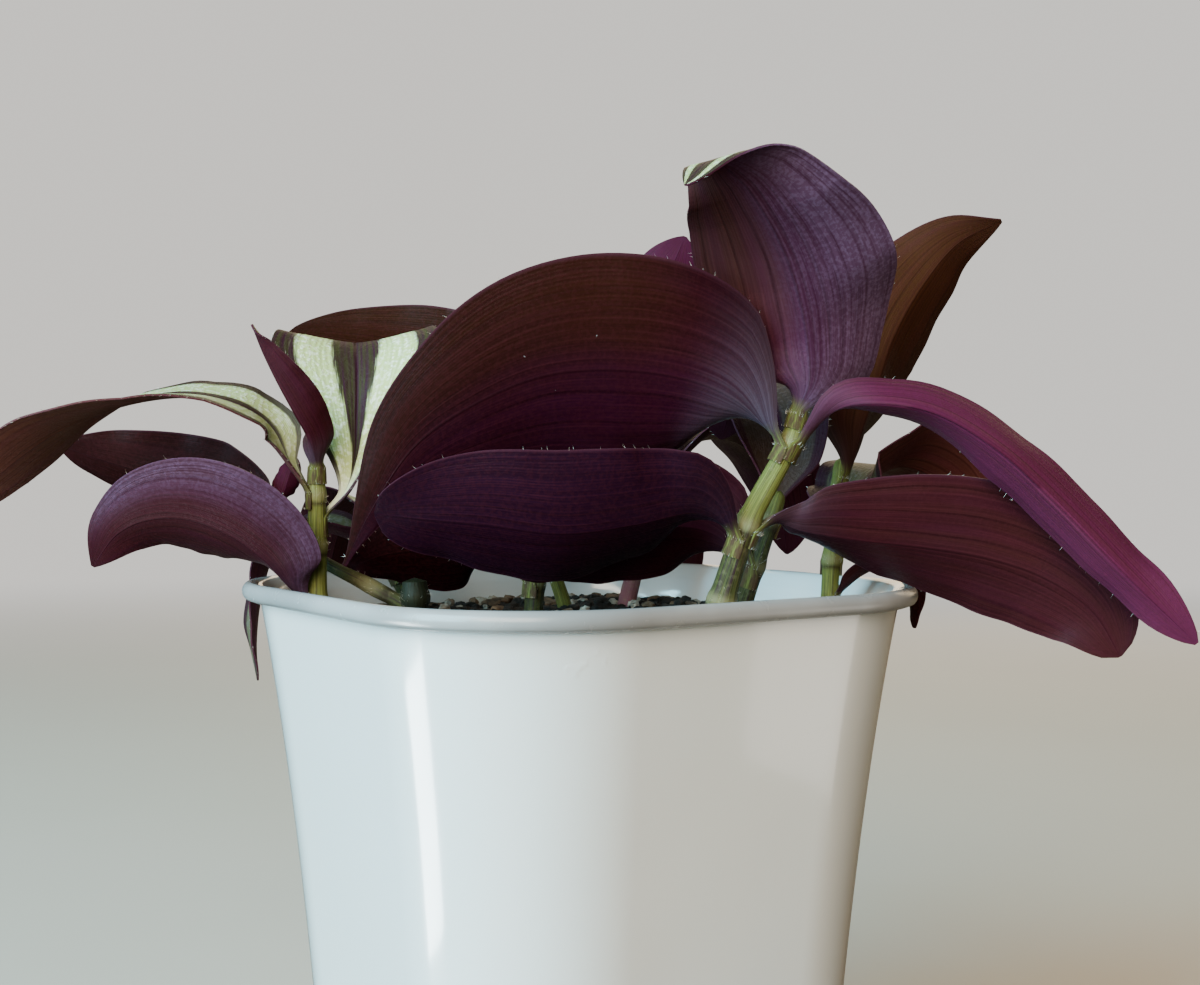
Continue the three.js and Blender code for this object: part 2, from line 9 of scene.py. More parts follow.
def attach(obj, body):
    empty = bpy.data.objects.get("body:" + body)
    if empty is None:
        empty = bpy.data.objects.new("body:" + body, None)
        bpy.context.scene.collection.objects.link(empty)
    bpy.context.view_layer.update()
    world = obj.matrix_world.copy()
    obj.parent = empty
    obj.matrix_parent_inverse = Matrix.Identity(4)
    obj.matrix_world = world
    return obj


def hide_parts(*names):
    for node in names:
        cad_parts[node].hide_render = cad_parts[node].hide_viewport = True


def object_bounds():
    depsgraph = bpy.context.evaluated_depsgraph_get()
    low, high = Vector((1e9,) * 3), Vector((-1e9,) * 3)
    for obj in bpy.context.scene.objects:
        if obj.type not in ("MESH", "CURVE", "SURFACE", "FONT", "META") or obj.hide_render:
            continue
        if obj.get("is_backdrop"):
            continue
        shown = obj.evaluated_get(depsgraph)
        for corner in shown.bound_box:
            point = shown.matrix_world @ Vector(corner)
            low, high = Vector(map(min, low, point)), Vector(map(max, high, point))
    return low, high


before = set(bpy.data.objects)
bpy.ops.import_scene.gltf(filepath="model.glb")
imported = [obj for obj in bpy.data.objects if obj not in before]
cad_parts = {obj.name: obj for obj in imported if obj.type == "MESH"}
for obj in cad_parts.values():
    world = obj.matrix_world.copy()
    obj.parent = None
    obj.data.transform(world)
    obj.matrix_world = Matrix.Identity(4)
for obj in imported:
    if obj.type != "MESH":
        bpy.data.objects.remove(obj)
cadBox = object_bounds()
bpy.ops.object.select_all(action='DESELECT')

# A tradescantia in a soft-square white pot. Shapes are laid out in millimetres and turned into metres.
mm = 0.001
plantTurn = math.radians(-34.2)  # the pot's flats lie along X and Y, and the view meets one corner
random.seed(7)
draw = np.random.default_rng(11)


# Layout: a curve through points, and places as they are looked at

def turned(points):
    # X to the right and Y away become the pot's own X and Y
    cosine, sine = math.cos(plantTurn), math.sin(plantTurn)
    spin = np.array([[cosine, -sine, 0], [sine, cosine, 0], [0, 0, 1]])
    return np.asarray(points, float) @ spin.T


def heading(angle, rise=0.0):
    around, up = math.radians(angle), math.radians(rise)
    return turned([math.cos(up) * math.cos(around), math.cos(up) * math.sin(around), math.sin(up)])


def unit(vectors):
    vectors = np.asarray(vectors, float)
    return vectors / np.linalg.norm(vectors, axis=-1, keepdims=True)


def smoothStep(value, low, high):
    share = np.clip((value - low) / (high - low), 0, 1)
    return share * share * (3 - 2 * share)


def blend(low, high, share):
    return low + (high - low) * share


class Curve:
    # A centripetal Catmull-Rom curve, read by the share of its length
    def __init__(self, points, perStretch=80):
        points = np.asarray(points, float)
        knots = np.vstack([2 * points[0] - points[1], points, 2 * points[-1] - points[-2]])
        share = np.linspace(0, 1, perStretch, endpoint=False)[:, None]
        spots = []
        for i in range(len(points) - 1):
            a, b, c, d = knots[i:i + 4]
            before, here, after = (np.sum((q - p) ** 2) ** 0.25 for p, q in ((a, b), (b, c), (c, d)))
            leave = ((b - a) / before - (c - a) / (before + here) + (c - b) / here) * here
            arrive = ((c - b) / here - (d - b) / (here + after) + (d - c) / after) * here
            spots.append(b + leave * share + (3 * (c - b) - 2 * leave - arrive) * share ** 2
                         + (2 * (b - c) + leave + arrive) * share ** 3)
        self.spots = np.vstack([*spots, points[-1:]])
        self.marks = np.concatenate([[0], np.cumsum(np.linalg.norm(np.diff(self.spots, axis=0), axis=1))])
        self.length = self.marks[-1]
        self.ways = unit(np.gradient(self.spots, self.marks, axis=0))

    def read(self, table, share):
        return np.array([np.interp(share * self.length, self.marks, column) for column in table.T])

    def spot(self, share):
        return self.read(self.spots, share)

    def way(self, share):
        return unit(self.read(self.ways, share))

    def shareAtHeight(self, height):
        return float(np.interp(height, self.spots[:, 2], self.marks) / self.length)


def squareReach(angle, cornerShare):
    # How much further out a soft square lies than the circle inside it
    radius = 2 * cornerShare
    corner = 1 - radius
    folded = np.abs(angle - math.pi / 2 * np.round(angle / (math.pi / 2)))
    reach = corner * (np.cos(folded) + np.sin(folded))
    onArc = reach + np.sqrt(np.maximum(reach ** 2 - 2 * corner ** 2 + radius ** 2, 0))
    return np.where(np.tan(folded) <= corner, 1 / np.cos(folded), onArc)


# Making and finishing meshes

def readSpots(mesh):
    spots = np.empty(len(mesh.vertices) * 3, np.float32)
    mesh.vertices.foreach_get('co', spots)
    return spots.reshape(-1, 3)


def writeSpots(mesh, spots):
    mesh.vertices.foreach_set('co', np.asarray(spots, np.float32).ravel())
    mesh.update()


def choose(piece):
    bpy.ops.object.select_all(action='DESELECT')
    piece.select_set(True)
    bpy.context.view_layer.objects.active = piece


def newPrimitive(name, add, **settings):
    bpy.ops.object.select_all(action='DESELECT')
    add(**settings)
    piece = bpy.context.object
    piece.name = piece.data.name = name
    bpy.ops.object.transform_apply(location=True, rotation=True, scale=True)
    return piece


def newGrid(name, columns, rows):
    # A flat sheet with a UV map, to be bent into shape, and the X and Y of its vertices from -1 to 1
    sheet = newPrimitive(name, bpy.ops.mesh.primitive_grid_add, x_subdivisions=columns, y_subdivisions=rows,
                         size=2)
    return sheet, readSpots(sheet.data)[:, :2].T


def rowOf(y, rows):
    return np.rint((y + 1) / 2 * rows).astype(int)


def startEdit(piece):
    choose(piece)
    bpy.ops.object.mode_set(mode='EDIT')
    bpy.ops.mesh.select_all(action='SELECT')


def endEdit():
    # All faces are turned outwards before edit mode ends
    bpy.ops.mesh.select_all(action='SELECT')
    bpy.ops.mesh.normals_make_consistent(inside=False)
    bpy.ops.object.mode_set(mode='OBJECT')


def resizeLevel(share, height):
    # What is selected widens or narrows about the pot's axis
    bpy.ops.transform.resize(value=(share, share, 1), center_override=(0, 0, height * mm))


def applyModifier(piece, kind, **settings):
    modifier = piece.modifiers.new(kind.title(), kind)
    for setting, value in settings.items():
        setattr(modifier, setting, value)
    choose(piece)
    bpy.ops.object.modifier_apply(modifier=modifier.name)


def smoothFaces(piece, angle):
    choose(piece)
    bpy.ops.object.shade_smooth_by_angle(angle=math.radians(angle))


def addMarks(piece, **marks):
    # Numbers at each vertex, for the materials to read
    for name, values in marks.items():
        mark = piece.data.attributes.new(name, 'FLOAT', 'POINT')
        mark.data.foreach_set('value', np.array(np.broadcast_to(values, len(mark.data)), np.float32))


def joinedCopies(name, shape, places):
    # One mesh of many copies of a small shape, each with its own place; the shape itself goes
    corners = readSpots(shape.data)
    faces = [list(face.vertices) for face in shape.data.polygons]
    spots = []
    loops = []
    for place in places:
        start = len(spots) * len(corners)
        spots.append(corners @ np.array(place.to_3x3()).T + np.array(place.translation))
        loops.extend([[start + corner for corner in face] for face in faces])
    bpy.data.objects.remove(shape)
    mesh = bpy.data.meshes.new(name)
    mesh.from_pydata(np.vstack(spots).tolist(), [], loops)
    mesh.update()
    piece = bpy.data.objects.new(name, mesh)
    bpy.context.collection.objects.link(piece)
    return piece


def standIn(piece, slot, *nodes):
    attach(piece, "root")
    if nodes:
        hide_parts(*nodes)


# Material building: most of these find the node tree from a socket that they are given

def fill(socket, value):
    if isinstance(value, bpy.types.NodeSocket):
        socket.id_data.links.new(value, socket)
    else:
        socket.default_value = (*value, 1) if socket.type == 'RGBA' else value


def addNode(tree, kind, inputs=None, **settings):
    node = tree.nodes.new(kind)
    for setting, value in settings.items():
        setattr(node, setting, value)
    for socket, value in (inputs or {}).items():
        fill(node.inputs[socket], value)
    return node


def newMaterial(name):
    material = bpy.data.materials.new(name)
    material.use_nodes = True
    spot = addNode(material.node_tree, 'ShaderNodeTexCoord').outputs['Object']
    return material, material.node_tree.nodes['Principled BSDF'].inputs, spot


def markOf(tree, name):
    return addNode(tree, 'ShaderNodeAttribute', attribute_name=name).outputs['Fac']


def sheetPlaces(tree):
    # A sheet's own map, the share across it and the share along it
    flat = addNode(tree, 'ShaderNodeUVMap', uv_map='UVMap').outputs['UV']
    across, along, _ = addNode(tree, 'ShaderNodeSeparateXYZ', {0: flat}).outputs
    return flat, across, along


def worked(operation, first, second=0.0, third=0.0):
    inputs = {0: first, 1: second, 2: third}
    return addNode(first.id_data, 'ShaderNodeMath', inputs, operation=operation).outputs[0]


def times(first, second):
    return worked('MULTIPLY', first, second)


def fused(first, factor, rest):
    # The first times a factor, plus the rest
    return worked('MULTIPLY_ADD', first, factor, rest)


def ramped(value, low, high, newLow=0.0, newHigh=1.0):
    inputs = {'Value': value, 'From Min': low, 'From Max': high, 'To Min': newLow, 'To Max': newHigh}
    ramp = addNode(value.id_data, 'ShaderNodeMapRange', inputs, interpolation_type='SMOOTHSTEP')
    return ramp.outputs['Result']


def mixed(share, first, second):
    inputs = {0: share, 6: first, 7: second}
    return addNode(share.id_data, 'ShaderNodeMix', inputs, data_type='RGBA').outputs[2]


def noise(vector, scale, detail=3.0, roughness=0.5):
    inputs = {'Vector': vector, 'Scale': scale, 'Detail': detail, 'Roughness': roughness}
    return addNode(vector.id_data, 'ShaderNodeTexNoise', inputs).outputs['Fac']


def streaked(vector, scale, detail, roughness):
    # Noise that is drawn out along the map
    drawn = addNode(vector.id_data, 'ShaderNodeMapping', {'Vector': vector, 'Scale': scale})
    return noise(drawn.outputs['Vector'], 1.0, detail, roughness)


def layered(look, skin, *layers):
    # Tones laid over a first one in turn, each by its share; a name stands for a tone of the look
    skin = look.get(skin, skin)
    for share, tone in layers:
        skin = mixed(share, skin, look.get(tone, tone))
    return skin


def dress(shader, skin, rough, bump=None, fixed=None):
    # bump is a height with its strength and distance, and fixed holds constants of the shader
    fill(shader['Base Color'], skin)
    fill(shader['Roughness'], rough)
    if bump:
        inputs = dict(zip(('Height', 'Strength', 'Distance'), bump))
        fill(shader['Normal'], addNode(skin.id_data, 'ShaderNodeBump', inputs).outputs['Normal'])
    for socket, value in (fixed or {}).items():
        fill(shader[socket], value)


def newGroup(name, inputs, outputs):
    group = bpy.data.node_groups.new(name, 'ShaderNodeTree')
    for label, value in inputs.items():
        kind = 'NodeSocketVector' if value is None else 'NodeSocketFloat'
        socket = group.interface.new_socket(label, in_out='INPUT', socket_type=kind)
        if value is not None:
            socket.default_value = value
    for label in outputs:
        group.interface.new_socket(label, in_out='OUTPUT', socket_type='NodeSocketFloat')
    return group, group.nodes.new('NodeGroupInput').outputs, group.nodes.new('NodeGroupOutput').inputs


def makeVeins():
    # Parallel veins along a leaf: Lines across it, a Rib in its middle, and an Edge that rises outwards
    group, given, made = newGroup('parallelVeins', {'Across': 0.5, 'Lines': 40.0, 'Rib Width': 0.03,
                                                    'Wander': 0.0}, ['Lines', 'Rib', 'Edge'])
    turns = times(fused(given['Wander'], 0.06, given['Across']), given['Lines'])
    fill(made['Lines'], fused(worked('SINE', times(turns, 2 * math.pi)), 0.5, 0.5))
    apart = worked('ABSOLUTE', worked('SUBTRACT', given['Across'], 0.5))
    fill(made['Rib'], ramped(worked('DIVIDE', apart, given['Rib Width']), 0.0, 1.0, 1.0, 0.0))
    fill(made['Edge'], times(apart, 2.0))
    return group


def makeBlotches():
    # Soft uneven patches, from 0 to 1
    group, given, made = newGroup('blotches', {'Vector': None, 'Scale': 60.0, 'Low': 0.35, 'High': 0.65},
                                  ['Patch'])
    spots = noise(given['Vector'], given['Scale'], 4.0, 0.55)
    fill(made['Patch'], ramped(spots, given['Low'], given['High']))
    return group


veins = makeVeins()
blotches = makeBlotches()


def veined(across, wander, lines, ribWidth):
    inputs = {'Across': across, 'Lines': lines, 'Rib Width': ribWidth, 'Wander': wander}
    return addNode(across.id_data, 'ShaderNodeGroup', inputs, node_tree=veins).outputs


def patches(spot, scale, low, high):
    inputs = {'Vector': spot, 'Scale': scale, 'Low': low, 'High': high}
    return addNode(spot.id_data, 'ShaderNodeGroup', inputs, node_tree=blotches).outputs['Patch']


# Stem and leaf finishes

stemLook = {
    'green': (0.07, 0.078, 0.02),
    'lime': (0.19, 0.215, 0.05),
    'deep': (0.013, 0.016, 0.007),
    'purple': (0.03, 0.008, 0.018),
    'sheath': (0.05, 0.018, 0.021),
    'pink': (0.23, 0.085, 0.11),
    'joint': (0.22, 0.205, 0.1),
    'mark': (0.026, 0.013, 0.007),
    'shaded': (0.008, 0.01, 0.005),
    'streaks': ((3.2, 3.2, 2.6), 4, 0.6),  # how they are drawn out, their detail and how rough they are
    'fineStreaks': ((11, 11, 2), 3, 0.6),
    'specks': (900.0, 0.5, 0.7),  # how many to a metre, and from which to which height they fade in
    'bump': (0.6, 0.0003),
    'sheathStreaks': ((26, 9, 1), 4, 0.7),
    'sheathPatches': ((7, 6, 1), 3, 0.6),
}


def stemMaterial():
    look = stemLook
    material, shader, spot = newMaterial('stemSkin')
    tree = material.node_tree
    _, around, along = sheetPlaces(tree)
    turn = times(around, 2 * math.pi)
    ring = {0: worked('COSINE', turn), 1: worked('SINE', turn), 2: times(along, 1.6)}
    loop = addNode(tree, 'ShaderNodeCombineXYZ', ring).outputs[0]
    streaks = streaked(loop, *look['streaks'])
    fine = streaked(loop, *look['fineStreaks'])
    young = markOf(tree, 'young')
    age = fused(young, -0.4, 0.85)
    skin = layered(
        look, 'green',
        (ramped(young, 0.2, 0.8), 'lime'),
        (times(ramped(fine, 0.42, 0.62), age), 'deep'),
        (times(ramped(streaks, 0.5, 0.66), age), 'purple'),
        (markOf(tree, 'pink'), 'pink'),
        (times(markOf(tree, 'joint'), 0.75), 'joint'),
        (times(markOf(tree, 'ring'), 0.8), 'mark'),
        (times(patches(spot, *look['specks']), 0.25), 'joint'),
        # painted shadow: the shade mark darkens stems that stand deep in the plant
        (markOf(tree, 'shade'), 'shaded'))
    dress(shader, skin, fused(fine, 0.3, 0.34), (worked('ADD', fine, streaks), *look['bump']), {
        'Specular IOR Level': 0.12, 'Subsurface Weight': 0.12, 'Subsurface Radius': (0.0012, 0.0012, 0.0004)})
    return material


def sheathTone(flat):
    # A sheath is as thin as paper: the stem's green shows through darker streaks and purple ones
    fine = streaked(flat, *stemLook['sheathStreaks'])
    broad = streaked(flat, *stemLook['sheathPatches'])
    return layered(
        stemLook, 'green',
        (ramped(fine, 0.35, 0.7, 0.1, 0.75), 'lime'),
        (ramped(fine, 0.36, 0.5, 0.6, 0.0), 'deep'),
        (ramped(broad, 0.42, 0.6, 0.8, 0.1), 'sheath'))


underLook = {
    'purple': (0.03, 0.0014, 0.005),
    'violet': (0.018, 0.003, 0.018),
    # brown: painted light coming through the leaf
    'brown': (0.021, 0.0055, 0.0003),
    # bright: partly a paler tone of the leaf's own and partly painted light
    'bright': (0.11, 0.016, 0.05),
    'deep': (0.005, 0.0007, 0.0012),
    'vein': (0.05, 0.01, 0.014),
    'margin': (0.06, 0.017, 0.03),
    'neck': (0.075, 0.056, 0.08),
    # tan: brighter painted light coming through the leaf
    'tan': (0.16, 0.072, 0.03),
    # a painted sheen, pale violet
    'frost': (0.185, 0.12, 0.235),
    'speck': (0.45, 0.45, 0.48),
    'streaks': ((46, 2.2, 1), 4, 0.6),
    'broadStreaks': ((9, 1.1, 1), 2, 0.5),
    'mainVeins': (13.0, 0.014),  # how many across a leaf, and how wide the rib is
    'fineVeins': (58.0, 0.02),
    'wander': 3.0,
    'clouds': (55.0, 0.3, 0.7),
    'cells': (1500.0, 0.42, 0.62),
    'specks': (380.0, 0.765, 0.79),
    'bump': (0.45, 0.00012),
    'roughness': (0.34, 0.5),
    'sheen': 0.004,
}


def underMaterial():
    look = underLook
    material, shader, spot = newMaterial('leafUnderside')
    tree = material.node_tree
    flat, across, _ = sheetPlaces(tree)
    streaks = streaked(flat, *look['streaks'])
    broad = streaked(flat, *look['broadStreaks'])
    wander = noise(flat, look['wander'], 2)
    main = veined(across, wander, *look['mainVeins'])
    fine = veined(across, wander, *look['fineVeins'])
    cells = patches(spot, *look['cells'])
    bluish = fused(patches(spot, *look['clouds']), 0.3, markOf(tree, 'violet'))
    # Painted light coming through the leaf: the warm mark browns it, streaked, more on one half of some
    # leaves
    warm = fused(broad, 0.7, worked('SUBTRACT', markOf(tree, 'warm'), 0.35))
    warm = addNode(tree, 'ShaderNodeClamp', {0: warm}).outputs[0]
    narrow = times(ramped(main['Lines'], 0.8, 1.0), ramped(broad, 0.35, 0.65, 0.02, 0.36))
    # Painted sheen: a pale violet glow on one half of some leaves, streaked and speckled
    frosted = times(markOf(tree, 'frost'), ramped(streaks, 0.3, 0.6, 0.3, 1.0))
    skin = layered(
        look, 'purple',
        (bluish, 'violet'),
        (warm, 'brown'),
        # brighter underside, partly its own tone and partly painted light, turning tan where painted light
        # comes through
        (markOf(tree, 'bright'), mixed(warm, look['bright'], look['tan'])),
        (ramped(streaks, 0.35, 0.7, 0.32, 0.0), 'deep'),
        # painted shade: leaves deep in the plant are darkened all over
        (markOf(tree, 'dim'), 'deep'),
        (narrow, 'deep'),
        (times(fine['Lines'], ramped(streaks, 0.4, 0.7, 0.03, 0.26)), 'vein'),
        (times(cells, 0.16), 'vein'),
        (times(main['Rib'], 0.4), 'deep'),
        (times(ramped(main['Edge'], 0.955, 1.0), 0.6), 'margin'),
        (times(frosted, ramped(cells, 0.0, 1.0, 0.6, 1.0)), 'frost'),
        (times(markOf(tree, 'neck'), ramped(streaks, 0.3, 0.65, 0.35, 1.0)), 'neck'),
        (markOf(tree, 'sheath'), sheathTone(flat)),
        (times(patches(spot, *look['specks']), 0.5), 'speck'))
    low, high = look['roughness']
    rough = fused(cells, -0.08, fused(streaks, high - low, low))
    height = fused(fine['Lines'], 0.22, times(streaks, 0.8))
    for relief, depth in ((narrow, -0.9), (main['Rib'], 1.2), (cells, 0.3)):
        height = fused(relief, depth, height)
    dress(shader, skin, rough, (height, *look['bump']), {
        'Sheen Weight': look['sheen'], 'Sheen Roughness': 0.4, 'Sheen Tint': (0.62, 0.6, 1.0),
        'Specular IOR Level': 0.03})
    return material


upperLook = {
    'plain': (0.03, 0.004, 0.016),
    'silver': (0.49, 0.58, 0.24),
    'pale': (0.8, 0.86, 0.68),
    'olive': (0.036, 0.036, 0.014),
    'purple': (0.032, 0.008, 0.02),
    'streaks': ((38, 3, 1), 4, 0.65),
    'frayed': ((16, 2.2, 1), 4, 0.7),
    'veins': (30.0, 0.022),
    'wander': 3.0,
    'cells': (1100.0, 0.45, 0.62),
    'bandFrom': (-0.03, 0.05),  # where the silver begins beside the midrib
    'bandTo': (0.70, 0.80),  # and where it ends before the margin
    'bump': (0.55, 0.00014),
    'roughness': (0.32, 0.48),
}


def upperMaterial():
    # Two silver bands with frayed edges, one on each side of the midrib
    look = upperLook
    material, shader, spot = newMaterial('leafUpperSide')
    tree = material.node_tree
    flat, across, along = sheetPlaces(tree)
    streaks = streaked(flat, *look['streaks'])
    frayed = streaked(flat, *look['frayed'])
    lined = veined(across, noise(flat, look['wander'], 2), *look['veins'])
    small = patches(spot, *look['cells'])
    edge = fused(worked('SUBTRACT', frayed, 0.5), 0.4, lined['Edge'])
    band = times(ramped(fused(along, -0.4, edge), *look['bandFrom']), ramped(edge, *look['bandTo'], 1.0, 0.0))
    silvery = markOf(tree, 'silver')
    bright = layered(look, 'silver', (times(small, ramped(streaks, 0.3, 0.62)), 'pale'))
    skin = layered(
        look, 'purple',
        (ramped(streaks, 0.35, 0.65), 'olive'),
        (ramped(silvery, 0.0, 0.3, 0.9, 0.0), 'plain'),
        (times(band, silvery), bright),
        (times(lined['Lines'], ramped(streaks, 0.4, 0.6, 0.18, 0.03)), 'olive'),
        (times(lined['Rib'], 0.8), 'purple'),
        (times(markOf(tree, 'neck'), silvery), 'pale'),
        (markOf(tree, 'sheath'), sheathTone(flat)))
    low, high = look['roughness']
    height = fused(lined['Rib'], -3.5, fused(small, 0.8, times(lined['Lines'], 0.4)))
    rough = fused(streaks, high - low, low)
    dress(shader, skin, rough, (height, *look['bump']), {'Specular IOR Level': 0.05})
    return material


def hairMaterial():
    material, shader, spot = newMaterial('whiteHair')
    dress(shader, mixed(noise(spot, 300.0), (0.3, 0.26, 0.2), (0.8, 0.78, 0.72)), 0.4)
    return material


stemSkin = stemMaterial()
leafSides = upperMaterial(), underMaterial()
whiteHair = hairMaterial()


# Stems

stemShape = {
    'around': 28,
    'step': 0.7,
    'jointSwell': 0.2,
    'jointReach': 1.4,
    'ridges': 9,
    'ridgeDepth': 0.012,
    'endRows': 3,  # the rows that close a rounded end
    'ringDrop': 1.5,  # the dark ring lies this far under a joint
    'ringReach': 0.45,
    'freshFade': (-5, 2),
    'weld': 0.02,
}
# The points run from the buried end to the tip, with the diameters there and the heights of the joints.
# fresh is the height from which a stem is bright, shade paints shadow over it all, pink reddens it, and a
# cut stem ends flat.
stems = {
    'front_right': {'points': [[16, -30, 84], [22, -31, 98], [29, -32, 119.5], [36, -32, 133],
        [38, -32, 140]], 'thick': 5.4, 'thin': 3, 'joints': [107, 119.5, 133], 'fresh': 121, 'shade': 0.1},
    'inner_right': {'points': [[24, -16, 84], [28, -18, 100], [32, -19, 113], [36, -19, 125]], 'thick': 4.2,
        'thin': 2.8, 'joints': [112, 120], 'fresh': 122, 'shade': 0.35},
    'right': {'points': [[44, -1, 84], [47, 0, 99], [48, 1, 113], [50, 2, 131]], 'thick': 3.8, 'thin': 2.8,
        'joints': [112, 124], 'fresh': 98, 'shade': 0.0},
    'front_left': {'points': [[-44, -6, 84], [-46, -7, 100], [-46, -8, 115], [-46, -8, 131]], 'thick': 4.5,
        'thin': 2.8, 'joints': [104.5, 115, 124], 'fresh': 92, 'shade': 0.0},
    'stub_left': {'points': [[-27, -12, 84], [-27.5, -12, 98], [-28, -12, 109.5]], 'thick': 5.4, 'thin': 4.4,
        'joints': [106], 'fresh': 130, 'shade': 0.96, 'cut': True},
    'creeper': {'points': [[-19, -6, 92], [-28, -5, 102], [-37, -2, 107], [-45, 2, 110.5], [-52, 4, 114.5],
        [-58, 5.5, 123]], 'thick': 3, 'thin': 2, 'joints': [107, 116], 'fresh': 130, 'shade': 0.3},
    'middle': {'points': [[-9, 9, 84], [-8, 10, 100], [-7, 11, 118], [-8, 12, 138]], 'thick': 4.2,
        'thin': 2.8, 'joints': [107, 117, 128, 134], 'fresh': 128, 'shade': 0.45},
    'back': {'points': [[0, 30, 84], [-2, 31, 99], [-6, 31, 112], [-9, 33, 128]], 'thick': 3.4, 'thin': 2.4,
        'joints': [110, 122], 'fresh': 98, 'shade': 0.1},
    'back_right': {'points': [[8, 31, 84], [10, 32, 99], [14, 32, 116], [18, 33, 136]], 'thick': 4.2,
        'thin': 2.8, 'joints': [112, 124, 132], 'fresh': 120, 'shade': 0.0, 'pink': 0.85},
    'back_left': {'points': [[-30, 18, 84], [-32, 20, 99], [-36, 21, 110], [-38, 22, 123]], 'thick': 4,
        'thin': 2.8, 'joints': [108, 117], 'fresh': 118, 'shade': 0.2},
}


def stemRadius(stem, heights, share):
    swell = sum(np.exp(-((heights - z) / stemShape['jointReach']) ** 2) for z in stem['joints'])
    return 0.5 * blend(stem['thick'], stem['thin'], share) * (1 + stemShape['jointSwell'] * swell)


def makeStem(name, stem):
    curve = stem['curve']
    rows = int(curve.length / stemShape['step'])
    piece, (x, y) = newGrid(f'stem.{name}', stemShape['around'], rows)
    row = rowOf(y, rows)
    shares = np.linspace(0, 1, rows + 1)
    spots = np.array([curve.spot(share) for share in shares])
    ways = np.array([curve.way(share) for share in shares])
    sides = []
    side = heading(0)
    for way in ways:
        side = unit(side - way * side.dot(way))
        sides.append(side)
    sides = np.array(sides)
    others = np.cross(ways, sides)
    radii = stemRadius(stem, spots[:, 2], shares)
    endRows = 1 if stem.get('cut') else stemShape['endRows']
    radii[-endRows:] *= np.sqrt(1 - (np.arange(1, endRows + 1) / endRows) ** 2)
    radii[0] = 0
    angle = x * math.pi
    ridge = 1 + stemShape['ridgeDepth'] * (np.cos(stemShape['ridges'] * angle) - 1)
    out = sides[row] * np.cos(angle)[:, None] + others[row] * np.sin(angle)[:, None]
    writeSpots(piece.data, (spots[row] + out * (radii[row] * ridge)[:, None]) * mm)
    heights = spots[row][:, 2]
    under = heights + stemShape['ringDrop']
    joint = sum(np.exp(-(heights - z) ** 2) for z in stem['joints'])
    ring = sum(np.exp(-((under - z) / stemShape['ringReach']) ** 2) for z in stem['joints'])
    low, high = stemShape['freshFade']
    addMarks(piece, joint=np.clip(joint, 0, 1), ring=np.clip(ring, 0, 1), shade=stem['shade'],
             pink=stem.get('pink', 0.0), young=smoothStep(heights, stem['fresh'] + low, stem['fresh'] + high))
    startEdit(piece)
    bpy.ops.mesh.remove_doubles(threshold=stemShape['weld'] * mm)
    endEdit()
    piece.data.materials.append(stemSkin)
    smoothFaces(piece, 60)
    standIn(piece, 'stem', f'stem_{name}')


for name, stem in stems.items():
    stem['curve'] = Curve(turned(stem['points']))
    makeStem(name, stem)
print('stems made:', len(stems))


# Leaves

leafShape = {
    'thickness': 0.8,
    'sheathGap': 0.55,
    'sheathHug': 0.8,  # how far a paper-thin sheath lies closer to the stem
    'sheathBody': 0.3,
    'sheathRows': 8,
    'bladeRows': 60,
    'columns': 36,
    'neckShare': 0.16,
    'unrollShare': 0.256,
    'neckDraw': 0.75,
    'mouthWrap': 70,
    'tipHalf': 0.35,
    'tipShare': 0.8,
    'rim': 0.25,  # how thick the margins are, as a share of the middle
    'ripple': 0.16,  # how far the margins ripple up and down
    'waves': (23, 41),  # a long and a short ripple, in radians along the blade
    'phase': 1.7,  # how far the ripple moves on from leaf to leaf
    'edge': 0.55,  # the share of the half width from which a blade thins towards its margin
    'tipBody': 0.3,
    'greyShare': 0.24,  # the part of a blade in which a greyish neck fades
}
# What a leaf has that doesn't say otherwise. wide and point shape the outline, fold and cup are degrees
# along the blade, and tint says how violet the underside is, how brown it is painted where light comes
# through, and how bright, partly its own paler tone and partly painted light. warmer paints one half
# browner with light coming through, and frost paints a sheen on one half: by how much, which
# half, and from where across it. grey is the neck, silver the upper side, dim and
# tipPaintedShade paint shade over the leaf and towards its tip, and hairy is how many hairs stand on
# the margins.
commonLeaf = {
    'wide': 0.62, 'point': 0.78, 'fold': [25, 14, 8], 'cup': [15, 15, 15], 'tint': (0.2, 0.35, 0.2),
    'warmer': (0.0, 1), 'frost': (0.0, 1, 0.15), 'grey': 0.25, 'silver': 0.7, 'dim': 0.0, 'tipPaintedShade': 0.0,
    'hairy': 0.3,
}
